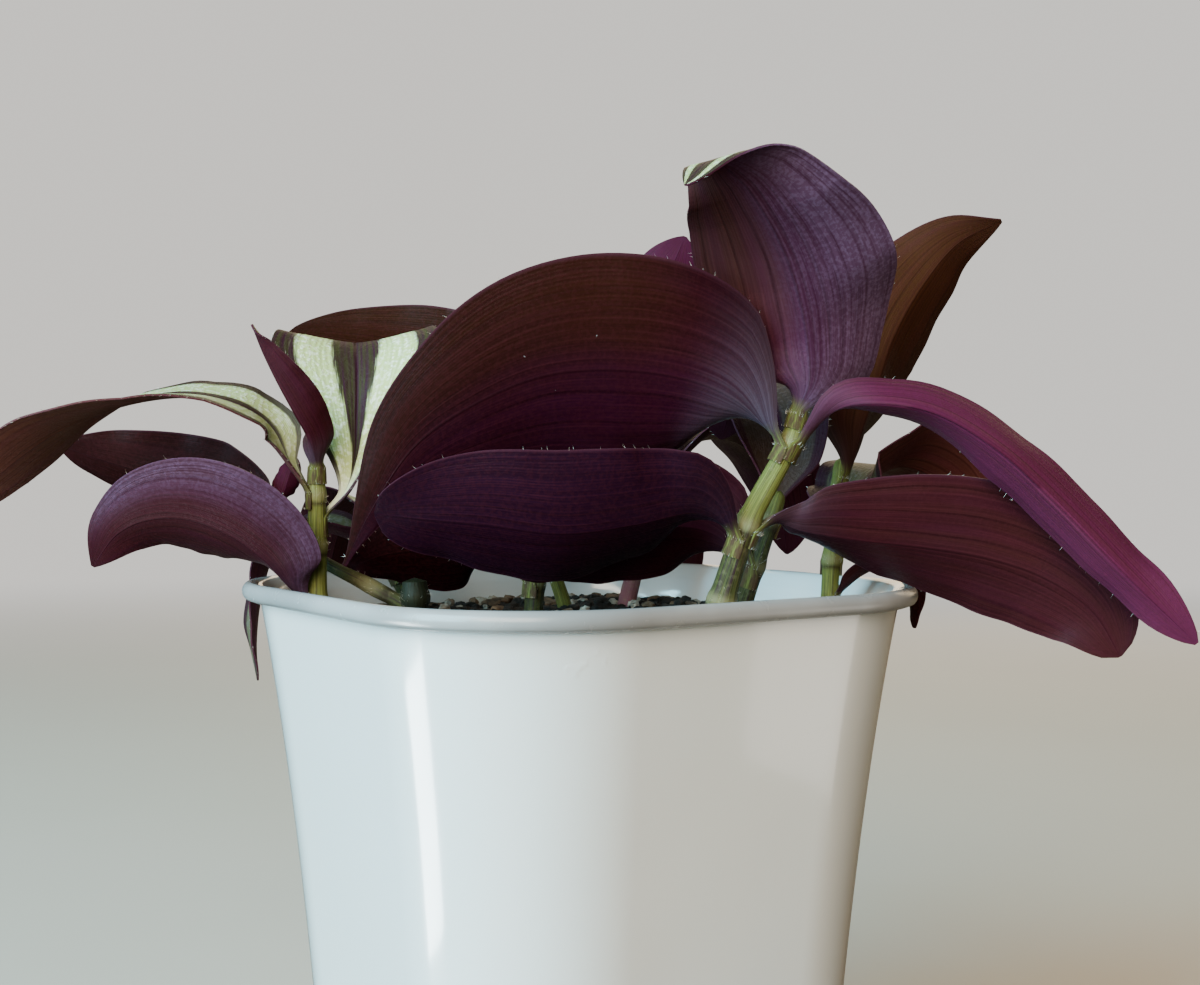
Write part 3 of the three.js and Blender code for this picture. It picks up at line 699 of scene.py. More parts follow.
# The foot is the height on the stem where the sheath ends, the heading of the stem's side that the midrib
# runs up, how long the sheath is, and how far it wraps the stem. faces are the headings and rises of the
# way that the upper side looks.
leaves = {
    'front_right_1': {'foot': (117, 205, 3, 75), 'width': 27, 'wide': 0.42, 'point': 0.5,
        'spine': [[24, -34.5, 120.5], [20, -36, 121.8], [11, -38, 120], [-1, -40.5, 118.5], [-14, -41, 120],
        [-31, -39, 121.5]], 'faces': [[50, 40], [88, 40], [95, 34], [92, 32], [90, 34], [85, 36]],
        'fold': [15, 12, 10, 8], 'cup': [20, 15, 15, 15], 'tint': (0.95, 0.0, 0.02), 'grey': 0.1,
        'dim': 0.5},
    'front_right_2': {'foot': (132, 190, 3, 75), 'width': 37, 'wide': 0.8, 'point': 1.55,
        'spine': [[31, -34, 136.5], [26.5, -36, 140], [20, -37, 142.8], [8, -38, 144.5], [-4, -39, 143.5],
        [-15, -39, 139], [-24.5, -38, 132.5], [-31.5, -37, 122.5], [-36.5, -35, 113]], 'faces': [[100, 28],
        [95, 24], [90, 24], [90, 16], [100, 10]], 'fold': [14, 3, 2, 2], 'cup': [18, 12, 15, 20],
        'tint': (0.35, 0.0, 0.03), 'warmer': (0.8, -1), 'grey': 0.9, 'dim': 0.1, 'tipPaintedShade': 0.45},
    'front_right_3': {'foot': (133, 340, 3, 70), 'width': 15, 'wide': 0.85, 'spine': [[40.5, -36, 136.5],
        [43, -39, 138.5], [48, -42, 139], [56.5, -44, 137.5], [66, -47, 131.5], [75, -48, 123],
        [84, -49, 113.5], [96, -49, 102]], 'faces': [[85, 15], [80, 5], [70, 0], [60, 0]],
        'fold': [50, 55, 50, 35], 'cup': [15, 10, 10, 10], 'tint': (0.2, 0.0, 0.85), 'grey': 0.4},
    'front_right_4': {'foot': (137.5, 250, 2.5, 75), 'width': 33.5, 'wide': 0.42, 'point': 0.9,
        'spine': [[38.5, -35, 142], [38.5, -34, 148.5], [37, -36.5, 155.5], [34, -41.5, 162.5],
        [30, -47.5, 168], [26, -53, 171.8], [21.5, -57.5, 173.6], [17.3, -61, 169.5]], 'faces': [[100, 5],
        [92, 8], [78, 16], [74, 26], [75, 40], [110, 62], [215, 55], [235, 30]], 'fold': [25, 6, 3, 0],
        'cup': [28, 18, 8, -10], 'tint': (0.8, 0.0, 0.4), 'warmer': (0.5, 1), 'frost': (0.75, -1, -0.4),
        'grey': 0.25},
    'front_right_5': {'foot': (119, 5, 3, 60), 'width': 25, 'point': 0.62, 'spine': [[34, -32, 120],
        [38, -32, 118.8], [47, -32, 117.2], [58, -33, 116], [69, -34, 114], [78, -35, 110.5],
        [84.5, -36, 105.5], [88.5, -37, 98.5]], 'faces': [[80, 45], [85, 32], [85, 18], [80, 8]],
        'fold': [30, 12, 8, 6], 'cup': [20, 15, 15, 20], 'tint': (0.1, 0.35, 0.15), 'grey': 0.3, 'dim': 0.1},
    'inner_right_1': {'foot': (112, 200, 4, 95), 'width': 27, 'spine': [[27, -19.5, 116], [22, -20, 118.5],
        [12, -21, 118.5], [0, -22, 116.5], [-12, -22, 112]], 'faces': [[65, 20], [90, 25], [90, 25],
        [90, 25]], 'fold': [25, 14, 10], 'tint': (0.2, 0.2, 0.05)},
    'inner_right_2': {'foot': (121, 100, 4, 110), 'width': 22, 'spine': [[36, -13, 130], [35.5, -8, 138],
        [34, 0, 143], [32.5, 8, 144.5], [31, 17, 142], [29.5, 27, 135]], 'faces': [[280, 20], [280, 50],
        [270, 75], [90, 75], [90, 45]], 'cup': [20, 15, 15], 'tint': (0.4, 0.1, 0.2), 'silver': 0.04},
    'right_1': {'foot': (113, 60, 4, 95), 'width': 27, 'spine': [[53, 7, 120], [58, 12, 127],
        [65, 19, 129.5], [74, 25, 126], [81, 29, 118], [86, 32, 108]], 'faces': [[60, 60], [100, 65],
        [100, 55], [60, 30]], 'cup': [20, 15, 20], 'tint': (0.0, 0.45, 0.7), 'silver': 0.1},
    'right_2': {'foot': (127, 330, 5, 110), 'width': 28, 'point': 0.95, 'spine': [[54, 3, 137], [57, 6, 144],
        [61, 10, 154], [67, 13, 164], [74, 13, 172.5], [82, 11, 176.5]], 'faces': [[130, 10], [110, 15],
        [100, 25], [95, 45]], 'fold': [35, 25, 18, 10], 'cup': [20, 15, 15, 10], 'tint': (0.0, 0.85, 0.26),
        'silver': 0.3},
    'right_3': {'foot': (105.5, 340, 3, 80), 'width': 7, 'spine': [[52, -3, 109], [56, -3, 111],
        [60, -1, 110.8], [63, 2, 106.5], [63.8, 3, 99]], 'faces': [[20, 70], [20, 60], [20, 20]],
        'fold': [25, 20, 15], 'cup': [10, 10, 10], 'tint': (0.1, 0.5, 0.1)},
    'front_left_1': {'foot': (104.5, 205, 3, 90), 'width': 24, 'point': 0.95, 'spine': [[-51, -10, 108.5],
        [-54, -13, 112.5], [-59.5, -15, 117], [-67, -15.5, 120], [-74, -15, 120], [-80, -13.5, 117.5],
        [-85, -12, 111.5]], 'faces': [[60, 30], [80, 35], [90, 35], [90, 35]], 'fold': [25, 10, 8, 6],
        'cup': [25, 25, 25, 20], 'tint': (0.3, 0.3, 0.15), 'frost': (0.25, -1, 0.15), 'grey': 0.2,
        'silver': 0.6},
    'front_left_2': {'foot': (124.5, 190, 3, 60), 'width': 21, 'wide': 0.95, 'spine': [[-51, -9, 130],
        [-53.5, -9, 135.5], [-57.5, -11, 139], [-63, -12, 141], [-69, -13, 141.6], [-79, -14, 140],
        [-90, -15, 135.5], [-100, -16, 128], [-108, -17, 120]], 'faces': [[290, 55], [272, 78], [270, 84],
        [100, 80], [90, 66], [90, 60]], 'fold': [20, 8, 4, 3], 'cup': [10, 0, 0, 5], 'tint': (0.0, 0.6, 1.0),
        'silver': 0.75, 'hairy': 2.2},
    'front_left_3': {'foot': (120, 30, 3.5, 60), 'width': 32, 'wide': 1.8, 'point': 0.7,
        'spine': [[-41, -5, 125], [-40, -3, 130], [-40, 0, 138], [-40.5, 4, 146], [-41.5, 9, 151],
        [-42.5, 14, 153], [-44, 19.5, 152.5]], 'faces': [[255, 20], [265, 25], [265, 50], [270, 75],
        [90, 75]], 'fold': [30, 20, 12, 8], 'cup': [25, 20, 10, 10], 'tint': (0.2, 0.4, 0.3), 'grey': 1.0,
        'silver': 1.0, 'hairy': 0.6},
    'front_left_4': {'foot': (129, 280, 3, 80), 'width': 11, 'wide': 0.5, 'point': 0.95,
        'spine': [[-46.5, -12, 134], [-48.5, -13, 138], [-52, -14, 145], [-56, -15, 154]],
        'faces': [[50, 10], [20, 20], [0, 30]], 'fold': [50, 62, 50], 'cup': [20, 10, 10],
        'tint': (0.3, 0.3, 0.18), 'grey': 0.5, 'hairy': 1.8},
    'creeper_1': {'foot': (117, 200, 3, 60), 'width': 19, 'spine': [[-61.5, 6, 122], [-68, 10, 125],
        [-76, 12, 126.5], [-84, 12, 128.5], [-92, 12, 131], [-99.5, 12, 133.5]], 'faces': [[90, 35],
        [90, 35], [90, 30]], 'fold': [25, 12, 8], 'cup': [15, 15, 10], 'tint': (0.0, 0.6, 0.02), 'dim': 0.5},
    'creeper_2': {'foot': (121, 350, 1.5, 60), 'width': 5, 'spine': [[-54.5, 5, 125], [-53.5, 5, 128],
        [-52.5, 5, 131]], 'faces': [[90, 40], [90, 30]], 'fold': [20, 15], 'cup': [20, 25],
        'tint': (0.4, 0.0, 1.0)},
    'middle_1': {'foot': (134, 175, 4, 80), 'width': 26, 'spine': [[-12.5, 14, 140], [-19, 20, 145.5],
        [-28, 26, 148.5], [-39, 28, 151], [-50, 28, 154], [-58.5, 28, 156.5]], 'faces': [[90, 20], [90, 30],
        [90, 30], [90, 20]], 'fold': [25, 12, 8], 'tint': (0.0, 0.95, 0.03), 'dim': 0.25},
    'middle_2': {'foot': (126, 50, 4, 110), 'width': 18, 'spine': [[-3, 17, 131], [-1, 25, 136],
        [2, 36, 139], [4, 47, 138], [5, 57, 132], [6, 64, 124]], 'faces': [[240, 50], [250, 75], [80, 80],
        [75, 60], [75, 35]]},
    'middle_3': {'foot': (117, 130, 4, 110), 'width': 20, 'spine': [[-13, 16, 123.5], [-19, 22, 126],
        [-25, 31, 126.5], [-29, 41, 123], [-31, 49, 116], [-32, 54, 107]], 'faces': [[330, 50], [330, 75],
        [120, 80], [120, 60], [120, 35]]},
    'middle_4': {'foot': (107, 200, 3, 80), 'width': 21, 'spine': [[-13, 8.5, 111], [-18, 7, 113.5],
        [-28, 6.5, 113.5], [-36, 7.5, 112.5], [-43, 10, 110]], 'faces': [[50, 15], [85, 20], [90, 20],
        [90, 20]], 'fold': [25, 12, 8], 'cup': [15, 10, 15], 'tint': (0.0, 0.3, 0.0), 'dim': 0.95},
    'back_1': {'foot': (124, 120, 4, 110), 'width': 22, 'spine': [[-11, 41, 131], [-14, 49, 135],
        [-17, 61, 136], [-19, 73, 131], [-20, 83, 122], [-20, 90, 111]], 'faces': [[300, 60], [300, 80],
        [110, 80], [110, 60], [110, 30]]},
    'back_2': {'foot': (112, 50, 4, 110), 'width': 25, 'spine': [[-2, 38, 117], [2, 45, 120], [9, 55, 121],
        [16, 65, 117], [22, 72, 109], [25, 77, 99]], 'faces': [[230, 60], [230, 80], [50, 80], [50, 60],
        [50, 30]]},
    'back_right_1': {'foot': (134, 230, 4, 95), 'width': 23, 'spine': [[18, 30, 141], [18.5, 28, 149],
        [18, 26, 159], [19, 25, 168], [22, 24, 175.5]], 'faces': [[80, 5], [85, 10], [90, 15], [90, 10]],
        'cup': [20, 15, 10], 'tint': (0.9, 0.0, 0.5)},
    'back_right_2': {'foot': (125, 40, 4, 110), 'width': 28, 'spine': [[21, 37, 131], [26, 43, 135],
        [35, 52, 135], [42, 62, 129], [47, 70, 120], [49, 76, 109]], 'faces': [[230, 60], [240, 80],
        [50, 80], [50, 60], [50, 30]], 'tint': (0.3, 0.2, 0.2), 'silver': 0.04},
    'back_left_1': {'foot': (109, 200, 3, 95), 'width': 15, 'spine': [[-42, 22, 113], [-48, 23, 116],
        [-55, 25, 116.5], [-61, 26, 112], [-64, 26, 103], [-65, 26, 94], [-64.5, 26, 86]],
        'faces': [[180, 70], [180, 70], [190, 40], [200, 5], [200, 0]], 'fold': [25, 14, 10],
        'tint': (0.3, 0.3, 0.4), 'silver': 0.12},
    'back_left_2': {'foot': (118, 100, 4, 110), 'width': 18, 'spine': [[-41, 28, 121], [-45, 34, 122],
        [-50, 43, 118], [-54, 51, 109], [-56, 57, 99]], 'faces': [[290, 60], [300, 80], [120, 80], [120, 60],
        [120, 30]]},
}


def along(values, share):
    return np.interp(share, np.linspace(0, 1, len(values)), values)


def bladeHalf(leaf, t):
    wide, point = leaf['wide'], leaf['point']
    peak = wide / (wide + point)
    highest = peak ** wide * (1 - peak) ** point
    return 0.5 * leaf['width'] * t ** wide * (1 - t) ** point / highest + leafShape['tipHalf'] * t


def leafRows(leaf, stem):
    # Rows over the middle surface: its middle, the way ahead, the way the upper side looks, half width
    # and how it bends and folds
    bearer = stem['curve']
    node, around, sheath, wrap = leaf['foot']
    side = heading(around)
    top = bearer.shareAtHeight(node)
    foot = top - sheath / bearer.length
    wrap = math.radians(wrap)
    mouth = min(wrap, math.radians(leafShape['mouthWrap']))

    def onStem(share):
        # The way up, the way out of the stem and how far out the sheath lies
        ahead = bearer.way(share)
        away = leafShape['sheathGap'] + leafShape['thickness'] / 2 - leafShape['sheathHug']
        radius = max(stemRadius(stem, bearer.spot(place)[2], place) for place in (share, top)) + away
        return ahead, unit(side - ahead * side.dot(ahead)), radius

    rows = []
    for level in np.arange(leafShape['sheathRows'] + 1) / leafShape['sheathRows']:
        share = blend(foot, top, level)
        ahead, out, radius = onStem(share)
        opening = blend(wrap, mouth, smoothStep(level, 0.5, 1))
        rows.append((bearer.spot(share) + out * radius, ahead, -out, radius * opening, opening, 0.0))
    start = rows[-1]
    half = blend(foot, top, 0.5)
    _, out, radius = onStem(half)
    before = bearer.spot(half) + out * radius
    spine = Curve([before, start[0], *turned(leaf['spine'])])
    skip = np.linalg.norm(start[0] - before) / spine.length
    faces = np.array([start[2], *[heading(*face) for face in leaf['faces']]])
    for t in np.arange(1, leafShape['bladeRows'] + 1) / leafShape['bladeRows']:
        spot = blend(skip, 1, t)
        ahead = spine.way(spot)
        look = unit([along(faces[:, k], t) for k in range(3)])
        opened = smoothStep(t, 0, leafShape['unrollShare'])
        flatten = 1 - smoothStep(t, leafShape['tipShare'], 1)
        rows.append((spine.spot(spot), ahead, unit(look - ahead * look.dot(ahead)),
                     blend(start[3] * leafShape['neckDraw'], bladeHalf(leaf, t),
                           smoothStep(t, 0, leafShape['neckShare'])),
                     blend(start[4], math.radians(along(leaf['cup'], t)), opened) * flatten,
                     math.radians(along(leaf['fold'], t)) * opened * flatten))
    return [np.array([row[k] for row in rows]) for k in range(6)]


def acrossRow(rows, row, share):
    # Points of the middle surface at a share of the half width, and the upper side's way there
    middle, ahead, face, half, bend, fold = (part[row] for part in rows)
    turn = np.abs(share) * bend
    curled = np.abs(bend) > 0.01
    curl = np.where(curled, half / np.where(curled, bend, 1), 0)
    flat = np.where(curled, curl * np.sin(turn), np.abs(share) * half)
    lift = np.where(curled, curl * (1 - np.cos(turn)), 0)
    out = flat * np.cos(fold) - lift * np.sin(fold)
    rise = flat * np.sin(fold) + lift * np.cos(fold)
    sideways = np.cross(ahead, face) * np.sign(share)[:, None]
    lean = np.where(share == 0, 0, turn + fold)
    point = middle + sideways * out[:, None] + face * rise[:, None]
    return point, face * np.cos(lean)[:, None] - sideways * np.sin(lean)[:, None]


def makeLeaf(name, leaf, order):
    rows = leafRows(leaf, stems[name.rsplit('_', 1)[0]])
    last = len(rows[0]) - 1
    piece, (x, y) = newGrid(f'leaf.{name}', leafShape['columns'], last)
    share = x.astype(float)
    row = rowOf(y, last)
    t = np.clip((row - leafShape['sheathRows']) / leafShape['bladeRows'], 0, 1)
    point, way = acrossRow(rows, row, share)
    phase = order * leafShape['phase']
    long, short = leafShape['waves']
    ripple = leafShape['ripple'] * share ** 2 * smoothStep(t, 0.15, 0.35) * (1 - smoothStep(t, 0.85, 1))
    ripple = ripple * (np.sin(t * long + phase) + 0.6 * np.sin(t * short + 2 * phase)) * np.sign(share)
    writeSpots(piece.data, (point + way * ripple[:, None]) * mm)
    body = np.minimum(1 - smoothStep(np.abs(share), leafShape['edge'], 1.0) * (1 - leafShape['rim']),
                      blend(1, leafShape['tipBody'], smoothStep(t, leafShape['tipShare'], 1)))
    body = np.minimum(body, blend(leafShape['sheathBody'], 1, smoothStep(t, 0.0, 0.12)))
    group = piece.vertex_groups.new(name='body')
    for index, weight in enumerate(body):
        group.add([index], float(weight), 'REPLACE')
    (violet, warm, bright), (warmer, warmSide), (frost, frostSide, frostFrom) = (
        leaf[key] for key in ('tint', 'warmer', 'frost'))
    # painted light coming through one half of the blade makes that half browner
    warmHalf = smoothStep(share * warmSide, -0.25, 0.5) * smoothStep(t, 0.1, 0.35)
    # painted sheen on one half of the blade, fading before the tip
    frostHalf = smoothStep(share * frostSide, frostFrom, 0.95) * (1 - smoothStep(t, 0.75, 0.95))
    addMarks(piece, sheath=1 - smoothStep(t, 0.0, 0.05), violet=violet, warm=warm + warmHalf * warmer,
             # the painted brightness grows out from the foot of the blade
             bright=bright * blend(0.75, 1.0, smoothStep(t, 0.1, 0.5)), frost=frost * frostHalf,
             neck=leaf['grey'] * (1 - smoothStep(t, 0.03, leafShape['greyShare'])), silver=leaf['silver'],
             # painted shade over the whole leaf, growing towards the tip on some
             dim=leaf['dim'] + leaf['tipPaintedShade'] * smoothStep(t, 0.35, 0.8))
    for material in leafSides:
        piece.data.materials.append(material)
    applyModifier(piece, 'SOLIDIFY', thickness=leafShape['thickness'] * mm, offset=0.0,
                  vertex_group='body', thickness_vertex_group=0.2, material_offset=1,
                  material_offset_rim=1, use_even_offset=False)
    smoothFaces(piece, 80)
    standIn(piece, 'leaf', f'leaf_{name}')
    return rows


leafMade = {}
for order, (name, leaf) in enumerate(leaves.items()):
    leaves[name] = {**commonLeaf, **leaf}
    leafMade[name] = makeLeaf(name, leaves[name], order)
print('leaves made:', len(leafMade))


# Fine hairs on margins, sheaths and joints

hairShape = {
    'length': (0.3, 0.85),
    'radius': 0.022,
    'stray': 0.28,
    'marginSpacing': 0.7,
    'sheathHairs': 26,
    'jointHairs': 34,
    'jointSpread': 1.1,
    'crowding': 1.2,  # over 1, hairs crowd towards the foot of a blade
}


def hairPlace(root, way):
    length = random.uniform(*hairShape['length']) * mm
    way = Vector(way) + Vector([random.gauss(0, hairShape['stray']) for _ in range(3)])
    turn = way.to_track_quat('Z', 'Y').to_matrix().to_4x4()
    size = Matrix.Diagonal((hairShape['radius'] * mm, hairShape['radius'] * mm, length, 1))
    return Matrix.Translation(Vector(root) * mm) @ turn @ size


def leafHairs(leaf, rows):
    count = len(rows[0])
    first = leafShape['sheathRows']
    length = np.linalg.norm(np.diff(rows[0][first:], axis=0), axis=1).sum()
    for side in (-1.0, 1.0):
        for _ in range(int(length * leaf['hairy'] / hairShape['marginSpacing'])):
            row = min(first + int(random.random() ** hairShape['crowding'] * (count - first)), count - 2)
            edge, way = acrossRow(rows, np.array([row]), np.array([side]))
            ahead = rows[1][row]
            out = np.cross(ahead, rows[2][row]) * side
            yield hairPlace(edge[0], out + 0.5 * ahead + 0.2 * way[0])
    for _ in range(hairShape['sheathHairs']):
        row = random.choice([0, first - 1, first])
        share = random.uniform(-1, 1)
        spot, way = acrossRow(rows, np.array([row]), np.array([share]))
        yield hairPlace(spot[0] - way[0] * 0.35, rows[1][row] - 0.5 * way[0])


def jointHairs(stem):
    curve = stem['curve']
    for z in stem['joints']:
        for _ in range(hairShape['jointHairs']):
            share = curve.shareAtHeight(z + random.gauss(0, hairShape['jointSpread']))
            way = curve.way(share)
            side = unit(np.cross(way, [random.gauss(0, 1) for _ in range(3)]))
            spot = curve.spot(share)
            root = spot + side * stemRadius(stem, spot[2], share) * 0.97
            yield hairPlace(root, side + 0.7 * way)


def makeHairs():
    places = [place for name, leaf in leaves.items() for place in leafHairs(leaf, leafMade[name])]
    places += [place for stem in stems.values() for place in jointHairs(stem)]
    hair = newPrimitive('hair', bpy.ops.mesh.primitive_cone_add, vertices=3, radius1=1, radius2=0.15, depth=1,
                        location=(0, 0, 0.5))
    piece = joinedCopies('fineHairs', hair, places)
    piece.data.materials.append(whiteHair)
    standIn(piece, 'leaf')
    print('hairs made:', len(places))


makeHairs()


# Pot

potShape = {
    'height': 108,
    'lipHalf': 52.5,
    'footHalf': 39.6,
    'wallLean': 0.075,
    'flare': 3.1,
    'flarePower': 3,
    'wallThickness': 2,
    'floorThickness': 3,
    'lipHeight': 3.4,
    'lipBulge': 1,
    'footRound': 1.5,
    'innerRound': 1.5,
    'cornerShare': 0.297,
    'cornerSteps': 28,
    'wallSteps': 26,
    'innerSteps': 20,
    'lipSteps': 22,
}


def wallHalf(height):
    share = height / (potShape['height'] - potShape['lipHeight'])
    flare = potShape['flare'] * share ** potShape['flarePower']
    return potShape['footHalf'] + potShape['wallLean'] * height + flare


def potProfile():
    # Half widths and heights, from under the foot up the wall, over the lip and down inside
    shape = potShape
    top, rim, ground, thick = (shape[k] for k in ('height', 'footRound', 'floorThickness', 'wallThickness'))
    wallTop = top - shape['lipHeight']
    bend = [(wallHalf(rim) - rim + rim * math.sin(a), rim - rim * math.cos(a))
            for a in np.linspace(0.25, 0.5, 5) * math.pi]
    profile = [(wallHalf(rim) - rim, 0.0), *bend]
    profile += [(wallHalf(z), z) for z in np.linspace(rim, wallTop, shape['wallSteps'])[1:]]
    half, bulge, tall = shape['lipHalf'], shape['lipBulge'], shape['lipHeight']
    bead = Curve([[wallHalf(wallTop) + 1.6, 0, wallTop + 0.02], [half + bulge * 0.6, 0, top - tall * 0.85],
                  [half + bulge, 0, top - tall * 0.45], [half + bulge * 0.6, 0, top - tall * 0.12],
                  [half, 0, top], [half - 1.4, 0, top - 0.3], [half - 2.6, 0, top - 1.4],
                  [wallHalf(wallTop) - thick, 0, wallTop]])
    profile += [tuple(bead.spot(share)[[0, 2]]) for share in np.linspace(0, 1, shape['lipSteps'])]
    inside = np.linspace(wallTop, ground + shape['innerRound'], shape['innerSteps'])[1:]
    profile += [(wallHalf(z) - thick, z) for z in inside]
    return [*profile, (wallHalf(ground) - thick - shape['innerRound'], ground)]


def makePot():
    profile = potProfile()
    half, height = profile[0]
    pot = newPrimitive('pot.shell', bpy.ops.mesh.primitive_plane_add, size=2 * half * mm,
                       location=(0, 0, height * mm))
    startEdit(pot)
    bpy.ops.mesh.bevel(offset=potShape['cornerShare'] * 2 * half * mm, offset_type='OFFSET',
                       affect='VERTICES', segments=potShape['cornerSteps'], profile=0.5)
    bpy.ops.mesh.select_all(action='SELECT')
    bpy.ops.mesh.flip_normals()
    for nextHalf, nextHeight in profile[1:]:
        rise = (0, 0, (nextHeight - height) * mm)
        bpy.ops.mesh.extrude_region_move(TRANSFORM_OT_translate={'value': rise})
        resizeLevel(nextHalf / half, nextHeight)
        half, height = nextHalf, nextHeight
    endEdit()
    return pot


potLook = {
    'white': (0.78, 0.8, 0.79),
    'cool': (0.73, 0.78, 0.8),
    'dust': (0.45, 0.4, 0.34),
    'lip': (0.24, 0.245, 0.25),
    'lipPale': (0.36, 0.365, 0.37),
    'lipDust': (0.16, 0.13, 0.11),
    'clouds': (9.0, 0.3, 0.7),
    'specks': (260.0, 0.62, 0.8),
    'dents': (75.0, 0.70, 0.76),
    'bump': (0.5, 0.0009),
    'lipClouds': (30.0, 0.3, 0.7),
    'lipSpecks': (300.0, 0.6, 0.75),
    'lipBump': (0.4, 0.0003),
}


def potMaterials():
    look = potLook
    wall, shader, spot = newMaterial('potPlastic')
    dust = patches(spot, *look['specks'])
    skin = layered(look, 'white', (patches(spot, *look['clouds']), 'cool'), (times(dust, 0.06), 'dust'))
    height = fused(patches(spot, *look['dents']), 0.12, noise(spot, 24.0, 1))
    dress(shader, skin, fused(dust, 0.12, 0.16), (height, *look['bump']), {
        'Coat Weight': 0.8, 'Coat Roughness': 0.07,
        'Subsurface Weight': 0.1, 'Subsurface Radius': (0.003, 0.003, 0.003)})
    lip, shader, spot = newMaterial('potLip')
    dust = patches(spot, *look['lipSpecks'])
    pale = patches(spot, *look['lipClouds'])
    skin = layered(look, 'lip', (pale, 'lipPale'), (times(dust, 0.25), 'lipDust'))
    dress(shader, skin, fused(dust, 0.2, 0.24), (noise(spot, 120.0, 3), *look['lipBump']))
    return wall, lip


def finishPot():
    pot = makePot()
    for material in potMaterials():
        pot.data.materials.append(material)
    # The lip's own material is on the faces above its lower edge that look outwards
    lipFrom = (potShape['height'] - potShape['lipHeight'] - 0.05) * mm
    farOut = (potShape['lipHalf'] - 3.4) * mm * 0.6
    for face in pot.data.polygons:
        center = face.center
        outward = face.normal.x * center.x + face.normal.y * center.y > -0.001
        onLip = center.z > lipFrom and max(abs(center.x), abs(center.y)) > farOut and outward
        face.material_index = 1 if onLip else 0
    smoothFaces(pot, 35)
    standIn(pot, 'pot_plastic', 'pot')


finishPot()
print('pot made')


# Soil

soilShape = {
    'level': 100,
    'gap': 0.3,
    'lump': 0.9,
    'lumpyShare': (0.82, 0.97),  # where the lumps fade towards the wall
    'crumble': 0.16,
    'cells': 120,
    'heap': ((-2, 13), (43, 7)),  # where bits heap up behind the leaves, and how widely, to the side and back
}
soilLook = {'tones': ((0.004, 0.003, 0.002), (0.012, 0.008, 0.005)), 'patches': 220.0}
# size is a bit's half length, flat its thickness as a share of that, lift how far it stands out, heap the
# share that lies in the heap, and jitter how rough it is
soilBits = {
    'soil.crumbs': {
        'count': 1500, 'size': (0.5, 1.4), 'flat': (0.6, 0.9), 'lift': 0.15, 'heap': 0.1,
        'tones': ((0.004, 0.003, 0.002), (0.014, 0.009, 0.006)), 'jitter': 0.35,
    },
    'soil.barkBits': {
        'count': 70, 'size': (1.0, 2.6), 'flat': (0.25, 0.45), 'lift': 0.3, 'heap': 0.35,
        'tones': ((0.055, 0.028, 0.014), (0.21, 0.13, 0.07)), 'jitter': 0.3,
    },
    'soil.paleGrains': {
        'count': 60, 'size': (0.7, 1.7), 'flat': (0.7, 0.95), 'lift': 0.35, 'heap': 0.35,
        'tones': ((0.26, 0.22, 0.17), (0.52, 0.48, 0.4)), 'jitter': 0.4,
    },
}


def soilHeight(x, y, half):
    # The lumps of the bed
    lumps = np.sin(0.31 * x + 1.3) * np.cos(0.27 * y) + 0.6 * np.sin(0.53 * y + 0.4 * x)
    outwards = np.maximum(np.abs(x), np.abs(y)) / half
    return soilShape['lump'] * lumps * (1 - smoothStep(outwards, *soilShape['lumpyShare']))


def soilMaterial(name, tones, scale):
    material, shader, spot = newMaterial(name)
    grit = noise(spot, scale * 6, 4, 0.7)
    skin = mixed(patches(spot, scale, 0.35, 0.65), *tones)
    dress(shader, skin, fused(grit, 0.3, 0.6), (grit, 0.9, 0.0006))
    return material


def makeSoil():
    level, gap = soilShape['level'], soilShape['gap']
    half = wallHalf(level) - potShape['wallThickness'] - gap
    bed, flat = newGrid('soil.bed', soilShape['cells'], soilShape['cells'])
    x, y = flat.astype(float)
    angle = np.arctan2(y, x)
    ring = np.maximum(np.abs(x), np.abs(y))
    reach = squareReach(angle, potShape['cornerShare'])
    x, y = (way(angle) * reach * ring * half for way in (np.cos, np.sin))
    crumble = draw.normal(0, soilShape['crumble'], len(x)) * (ring < 0.985)
    writeSpots(bed.data, np.stack([x, y, level + soilHeight(x, y, half) + crumble], axis=1) * mm)
    startEdit(bed)
    bpy.ops.mesh.select_all(action='DESELECT')
    bpy.ops.mesh.select_non_manifold()
    bottom = potShape['floorThickness'] + gap
    drop = (0, 0, (bottom - level) * mm)
    bpy.ops.mesh.extrude_edges_move(TRANSFORM_OT_translate={'value': drop})
    resizeLevel((wallHalf(bottom) - potShape['wallThickness'] - gap) / half, bottom)
    bpy.ops.mesh.edge_face_add()
    endEdit()
    bed.data.materials.append(soilMaterial('soilDamp', soilLook['tones'], soilLook['patches']))
    smoothFaces(bed, 40)
    standIn(bed, 'potting_soil', 'soil')
    return half


def lumpTemplate(seed, jitter):
    lump = newPrimitive('lump', bpy.ops.mesh.primitive_ico_sphere_add, subdivisions=2, radius=1)
    startEdit(lump)
    bpy.ops.transform.vertex_random(offset=jitter, seed=seed)
    endEdit()
    return lump


def bitPlaces(bits, half):
    for _ in range(bits['count']):
        if random.random() < bits['heap']:
            x, y = turned([*(random.gauss(*spread) for spread in soilShape['heap']), 0])[:2]
        else:
            x, y = random.uniform(-half, half), random.uniform(-half, half)
        size = random.uniform(*bits['size'])
        limit = half * float(squareReach(math.atan2(y, x), potShape['cornerShare'])) - size * 1.1
        away = math.hypot(x, y)
        if away > limit:
            x, y = x * limit / away, y * limit / away
        ground = soilShape['level'] + float(soilHeight(x, y, half))
        turn = Matrix.Rotation(random.uniform(0, 2 * math.pi), 4, 'Z')
        turn = turn @ Matrix.Rotation(random.gauss(0, 0.5), 4, 'X')
        scale = Matrix.Diagonal((size * mm, size * random.uniform(0.55, 0.9) * mm,
                                 size * random.uniform(*bits['flat']) * mm, 1))
        yield Matrix.Translation(Vector((x, y, ground + size * bits['lift'])) * mm) @ turn @ scale


